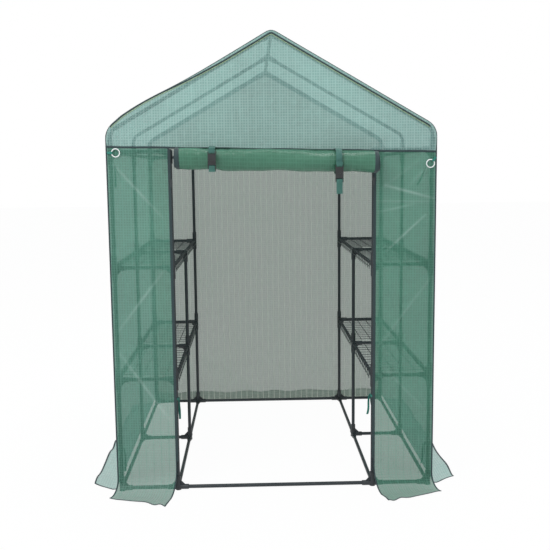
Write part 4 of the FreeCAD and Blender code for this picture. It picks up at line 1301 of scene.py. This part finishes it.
@dataclass
class Strap:
    """Webbing round the roll: a front part to the buckle's socket, and a back part to its plug."""

    side: Side
    x: float
    buckle_top: float
    roll: RolledDoor
    wide: float = 0.025
    thick: float = 0.0014
    buckle_half: float = 0.035
    slot: float = 0.0055
    tail: float = 0.052

    def strip(self, name: str, corners: list[tuple[tuple[float, float], float]]) -> Strip:
        """A strip of webbing along a line in the plane across the roll."""
        flat = rounded_line(corners, 0.004)
        line = np.concatenate([np.full((len(flat), 1), self.x), flat], 1)
        across, out = flat_line_frames(line, (1.0, 0.0, 0.0))
        return Strip(name, line, across, out, tape_section(self.wide, self.thick, -self.wide / 2))

    def make(self, finishes: Finishes) -> list[bpy.types.Object]:
        """Makes both parts and the loose end.

        Args:
            finishes: the object's finishes.

        Returns:
            The pieces.
        """
        r = self.roll
        over, grip = r.radius + 0.0022, r.radius + 0.0012
        top_z = float(r.middle(np.array(self.x))) + over
        low_z = float(r.middle(np.array(self.x))) - over
        back_y, front_y = r.middle_y + grip, r.middle_y - over
        buckle_y = front_y - 0.0048
        high_slot = self.buckle_top - self.slot
        foot = self.buckle_top - 2 * self.buckle_half
        low_slot = foot + self.slot
        word = self.side.word
        if high_slot > r.middle_z + 0.01:
            way = [((r.middle_y - 0.012, top_z), 0.03)]
        else:
            way = [((front_y, top_z), 0.047), ((front_y - 0.0005, high_slot + 0.012), 0.02)]
        front = self.strip(
            f"strap_{word}_front_webbing",
            [
                ((back_y - 0.003, top_z), 0),
                *way,
                ((buckle_y + 0.001, high_slot), 0.003),
                ((buckle_y - 0.0062, high_slot - 0.0002), 0.003),
                ((buckle_y - 0.0068, high_slot + 0.019), 0),
            ],
        )
        if low_slot > low_z:
            way = [((front_y, low_z), 0.047)]
        else:
            way = [((front_y + 0.004, low_z), 0.03)]
        back = self.strip(
            f"strap_{word}_back_webbing",
            [
                ((back_y, top_z - 0.004), 0),
                ((back_y, low_z), 0.048),
                *way,
                ((buckle_y + 0.001, low_slot), 0.006),
                ((buckle_y - 0.0052, low_slot), 0),
            ],
        )
        tail = self.strip(
            f"strap_{word}_loose_end",
            [
                ((buckle_y - 0.0046, low_slot + 0.007), 0),
                ((buckle_y - 0.0062, low_slot - 0.002), 0.004),
                ((buckle_y - 0.0040, low_slot - 0.46 * self.tail), 0.03),
                ((buckle_y - 0.0070, low_slot - self.tail), 0),
            ],
        )
        plug = f"buckle_plug_{word}"
        made = [keep(front.make(finishes.webbing), ROLL, "webbing", f"strap_front_{word}")]
        rear = back.make(finishes.webbing)
        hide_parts(f"strap_back_{word}")
        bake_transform(rear)
        LOG.info("%s: blended from %s to %s", rear.name, ROLL, plug)
        made.append(rear)
        made.append(keep(tail.make(finishes.webbing), plug, "webbing"))
        for part, strip, held in ((made[0], front, "hung"), (rear, back, "hung"), (made[2], tail, "hung")):
            length_of(strip.line)
        return made


@dataclass
class Zip:
    """Zip tape and teeth down one door edge."""

    house: House
    side: Side
    low: float = 0.132
    tooth: float = 0.0030

    def make(self, finishes: Finishes) -> list[bpy.types.Object]:
        """Makes the tape and its row of teeth.

        Args:
            finishes: the object's finishes.

        Returns:
            The pieces.
        """
        h, s = self.house, self.side.value
        top = float(h.header_at(s * h.door)) - 0.008
        z = np.linspace(top, self.low, 60)
        x = np.full_like(z, s * h.door)
        line = np.stack([x, np.full_like(z, -h.wall - 0.0012), z], 1)
        across = np.tile([-float(s), 0.0, 0.0], (len(z), 1))
        out = np.tile([0.0, -1.0, 0.0], (len(z), 1))
        tape = Strip(f"zip_tape_{self.side.word}", line, across, out, tape_section(0.0065, 0.0009, 0.0))
        made = [keep(tape.make(finishes.binding), ROOT, "binding", "zip_tapes")]
        made.append(keep(self.teeth(top, finishes), ROOT, "zip_metal"))
        return made

    def teeth(self, top: float, finishes: Finishes) -> bpy.types.Object:
        """One tooth, copied down the tape."""
        deselect()
        bpy.ops.mesh.primitive_cube_add(size=1)
        obj = bpy.context.object
        obj.name = obj.data.name = f"zip_teeth_{self.side.word}"
        edit(obj)
        bpy.ops.transform.resize(value=(0.0030, 0.0016, 0.0017))
        bpy.ops.mesh.bevel(offset=0.0003, segments=1, affect="EDGES")
        middle = (self.side.value * (self.house.door - 0.0070), -self.house.wall - 0.0013, top - 0.001)
        bpy.ops.transform.translate(value=middle)
        close_edit()
        count = int((top - self.low - 0.001) / self.tooth)
        shape_with(
            obj, "ARRAY", count=count, use_relative_offset=False, use_constant_offset=True,
            constant_offset_displace=(0.0, 0.0, -self.tooth),
        )
        return dress(obj, finishes.zip_metal)


@dataclass
class RingTab:
    """A tab of tape that holds a guy ring and is sewn into the corner seam."""

    side: Side
    loop: tuple[float, float]
    lean: float
    loop_y: float = -0.6934
    bore: float = 0.0034
    wide: float = 0.010
    thick: float = 0.0007
    reach: float = 0.019

    def make(self, finishes: Finishes) -> bpy.types.Object:
        """Makes the tab.

        Args:
            finishes: the object's finishes.

        Returns:
            The piece.
        """
        a = math.radians(self.lean)
        toward = np.array([math.cos(a), 0.0, math.sin(a)])
        r = self.bore + 0.0004
        flat = rounded_line(
            [
                ((self.reach, 0.0038), 0),
                ((0.0, r), 0.0),
                ((-r, r), r * 0.98),
                ((-r, -r), r * 0.98),
                ((0.004, -r), 0.0),
                ((self.reach, 0.0012), 0),
            ],
            0.0012,
        )
        middle = np.array([self.loop[0], self.loop_y, self.loop[1]])
        line = middle + flat[:, :1] * toward + flat[:, 1:] * np.array([0.0, 1.0, 0.0])
        across, out = flat_line_frames(line, (-math.sin(a), 0.0, math.cos(a)))
        section = tape_section(self.wide, self.thick, -self.wide / 2)
        strip = Strip(f"ring_tab_{self.side.word}", line, across, out, section)
        return keep(strip.make(finishes.tie), ROOT, "tie_tape", "ring_tabs")


@dataclass
class Tie:
    """A tape tied round a post: its loop, its knot and two hanging ends."""

    name: str
    x: float
    z: float
    turn: float
    seed: int
    y: float = -0.672
    wide: float = 0.010
    thick: float = 0.0010
    tail: float = 0.098
    lean: float = 0.012

    def make(self, finishes: Finishes) -> list[bpy.types.Object]:
        """Makes the tie's pieces.

        Args:
            finishes: the object's finishes.

        Returns:
            The pieces.
        """
        middle = np.array([self.x, self.y, self.z + 0.0055])
        a = math.radians(self.turn)
        ahead = np.array([math.cos(a), math.sin(a), 0.0])
        beside = np.array([-math.sin(a), math.cos(a), 0.0])
        up = np.array([0.0, 0.0, 1.0])
        made = []
        ring = np.linspace(0.12, 2 * math.pi - 0.12, 40)
        loop = middle + 0.0091 * (np.cos(ring)[:, None] * ahead + np.sin(ring)[:, None] * beside)
        loop = loop + 0.0008 * np.sin(ring * 2)[:, None] * up
        across, out = flat_line_frames(loop, (0.0, 0.0, 1.0))
        section = tape_section(self.wide, self.thick, -self.wide / 2)
        made.append(Strip(f"{self.name}_loop", loop, across, out, section))
        wrap = np.linspace(0, 2 * math.pi * 1.35, 44)
        knot = (
            middle
            + 0.0140 * ahead
            + 0.0042 * np.cos(wrap)[:, None] * ahead
            + 0.0052 * np.sin(wrap)[:, None] * up
            + (0.0030 * np.sin(wrap * 0.5 + 0.4))[:, None] * beside
        )
        across, out = flat_line_frames(knot, tuple(beside))
        section = tape_section(self.wide * 0.9, self.thick * 1.3, -self.wide * 0.45)
        made.append(Strip(f"{self.name}_knot", knot, across, out, section))
        draw = np.random.default_rng(self.seed)
        for i, lean in enumerate((-1, 1)):
            t = np.linspace(0, 1, 26)
            sway = draw.uniform(0.002, 0.005)
            long = self.tail * draw.uniform(0.82, 1.0)
            tail = (
                middle
                + (0.0150 + (0.0022 + self.lean * t) * i + sway * 0.6 * np.sin(t * 5 + i))[:, None] * ahead
                + (lean * (0.0030 + 0.0045 * t) + sway * 0.4 * np.sin(t * 6))[:, None] * beside
                - (long * t)[:, None] * up
            )
            twist = t * draw.uniform(0.3, 0.9) * lean
            across = np.cos(twist)[:, None] * beside + np.sin(twist)[:, None] * ahead
            face = np.cross(np.gradient(tail, axis=0), across)
            face /= np.linalg.norm(face, axis=1)[:, None]
            section = tape_section(self.wide * 0.92, self.thick, -self.wide * 0.46)
            made.append(Strip(f"{self.name}_end_{i + 1}", tail, across, face, section))
        return [keep(s.make(finishes.tie), ROOT, "tie_tape", "tie_tapes") for s in made]


@dataclass
class BareFrame:
    """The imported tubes, connectors, shelves and metal trim, in their finishes."""

    def dress_all(self, finishes: Finishes) -> None:
        """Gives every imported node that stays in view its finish.

        Args:
            finishes: the object's finishes.
        """
        by_slot = {
            "tube": finishes.tube,
            "connector": finishes.connector,
            "shelf_wire": finishes.wire,
            "buckle": finishes.buckle,
            "zip_metal": finishes.zip_metal,
            "ring": finishes.ring,
        }
        for part in frame["record"]["subparts"]:
            material = by_slot.get(part["material_slot"])
            if material is None:
                continue
            node = frame["nodes"][part["node"]]
            dress(node, material)
            LOG.info("%s: packed node in %s", node.name, material.name)


# ------------------------------------------------------------------ stage


@dataclass
class Studio:
    """The floor, the light and the camera."""

    place: tuple[float, float, float] = (-0.0918, -4.0909, 1.3800)
    yaw: float = -0.0287
    down: float = 0.1272
    roll: float = -0.0104
    lens: float = 52.96
    sky_light: float = 0.72

    def make(self) -> None:
        """Makes them all."""
        self.floor()
        self.light()
        self.camera()

    def floor(self) -> None:
        """A wide pale floor."""
        deselect()
        bpy.ops.mesh.primitive_grid_add(x_subdivisions=2, y_subdivisions=2, size=60, location=(0, 0, -0.0005))
        ground = bpy.context.object
        ground.name = "ground"
        dress(ground, StageFloor().make())

    def light(self) -> None:
        """An even sky, and two large soft lamps."""
        world = bpy.data.worlds.new("soft_sky")
        bpy.context.scene.world = world
        world.use_nodes = True
        g = Graph.of_world(world)
        sky = g.add("ShaderNodeBackground", values={0: (0.93, 0.97, 1.0), 1: self.sky_light})
        white = g.add("ShaderNodeBackground", values={0: (1.0, 1.0, 1.0), 1: 1.0})
        mixed = g.add("ShaderNodeMixShader", values={0: g.seen(), 1: sky, 2: white})
        end = g.tree.nodes.new("ShaderNodeOutputWorld")
        g.tree.links.new(mixed.socket, end.inputs["Surface"])
        for name, spot, power, size in (
            ("key", (-2.6, -3.6, 4.6), 150.0, 2.6),
            ("top", (0.8, 0.6, 5.2), 120.0, 3.2),
        ):
            lamp = bpy.data.lights.new(name, "AREA")
            lamp.energy, lamp.size = power, size
            holder = bpy.data.objects.new(name, lamp)
            holder.location = spot
            aim = Vector((0.0, 0.0, 0.9)) - Vector(spot)
            holder.rotation_euler = aim.to_track_quat("-Z", "Y").to_euler()
            bpy.context.scene.collection.objects.link(holder)

    def camera(self) -> None:
        """The camera, level with the upper shelves and a little to the left."""
        sin_y, cos_y = math.sin(self.yaw), math.cos(self.yaw)
        sin_p, cos_p = math.sin(self.down), math.cos(self.down)
        right = Vector((cos_y, sin_y, 0.0))
        ahead = Vector((-sin_y * cos_p, cos_y * cos_p, -sin_p))
        up = Vector((-sin_y * sin_p, cos_y * sin_p, cos_p))
        across = math.cos(self.roll) * right + math.sin(self.roll) * up
        upward = -math.sin(self.roll) * right + math.cos(self.roll) * up
        lens = bpy.data.cameras.new("view")
        lens.lens, lens.sensor_width = self.lens, 36.0
        holder = bpy.data.objects.new("view", lens)
        turn = Matrix((across, upward, -ahead)).transposed()
        holder.matrix_world = Matrix.Translation(self.place) @ turn.to_4x4()
        bpy.context.scene.collection.objects.link(holder)
        bpy.context.scene.camera = holder


def main() -> None:
    """Builds every part of the scene in order."""
    logging.basicConfig(level=logging.INFO, format="%(message)s")
    bpy.context.scene.view_settings.view_transform = "Standard"
    house = House()
    finishes = Finishes.make()
    BareFrame().dress_all(finishes)
    RoofAndSides(house).make(finishes)
    EndSheet(house, "back_wall", house.wall, Crumple(23, 0.0030, 0.0018), 0.178, 110, 190).make(finishes)
    EndSheet(house, "front_gable", -house.wall, Crumple(31, 0.0022, 0.0016), 0.0, 120, 44).make(finishes)
    # A fold's paleness is painted into the colour: partly stress whitening, partly a painted highlight along
    # the crease.
    right_folds = (
        Fold((0.645, 1.209), (0.480, 1.052), 0.008, 0.007, 0.9),
        Fold((0.617, 1.434), (0.452, 1.313), 0.013, 0.009, 0.2),
        Fold((0.472, 1.329), (0.681, 1.277), 0.012, 0.009, 0.9),
        Fold((0.448, 1.217), (0.601, 1.253), 0.009, 0.006, 0.5),
        Fold((0.440, 1.262), (0.680, 1.264), 0.008, 0.005, 0.4),
        Fold((0.680, 1.438), (0.572, 1.325), 0.012, 0.007, 0.3),
        Fold((0.670, 0.940), (0.450, 0.640), 0.012, 0.006, 0.3),
        Fold((0.460, 0.560), (0.660, 0.350), 0.013, 0.006, 0.2),
    )
    left_folds = (
        Fold((-0.66, 1.40), (-0.46, 1.18), 0.012, 0.005),
        Fold((-0.47, 0.95), (-0.66, 0.70), 0.012, 0.005),
        Fold((-0.66, 0.60), (-0.45, 0.30), 0.014, 0.006),
    )
    for side, folds, seed in ((Side.LEFT, left_folds, 41), (Side.RIGHT, right_folds, 57)):
        FrontPanel(house, side, Crumple(seed, 0.0030, 0.0018, folds=folds)).make(finishes)
        Zip(house, side).make(finishes)
    roll = RolledDoor(house)
    roll.make(finishes)
    Strap(Side.LEFT, -0.247, 1.462, roll, tail=0.016).make(finishes)
    Strap(Side.RIGHT, 0.268, 1.404, roll).make(finishes)
    RingTab(Side.LEFT, (-0.6645, 1.463), 180.0).make(finishes)
    RingTab(Side.RIGHT, (0.67261, 1.41964), 50.0).make(finishes)
    for i, side in enumerate(Side):
        s, word = side.value, side.word
        Tie(f"tie_high_{word}", s * house.post, 1.401, 90 + 55 * s, 3 + i, lean=0.045).make(finishes)
        Tie(f"tie_low_{word}", s * house.post, 0.178, 90 + 55 * s, 13 + i).make(finishes)
        Tie(f"tie_inner_{word}", s * house.aisle, 0.402, 90 + 30 * s, 23 + i).make(finishes)
    Studio().make()


if __name__ == "__main__":
    main()
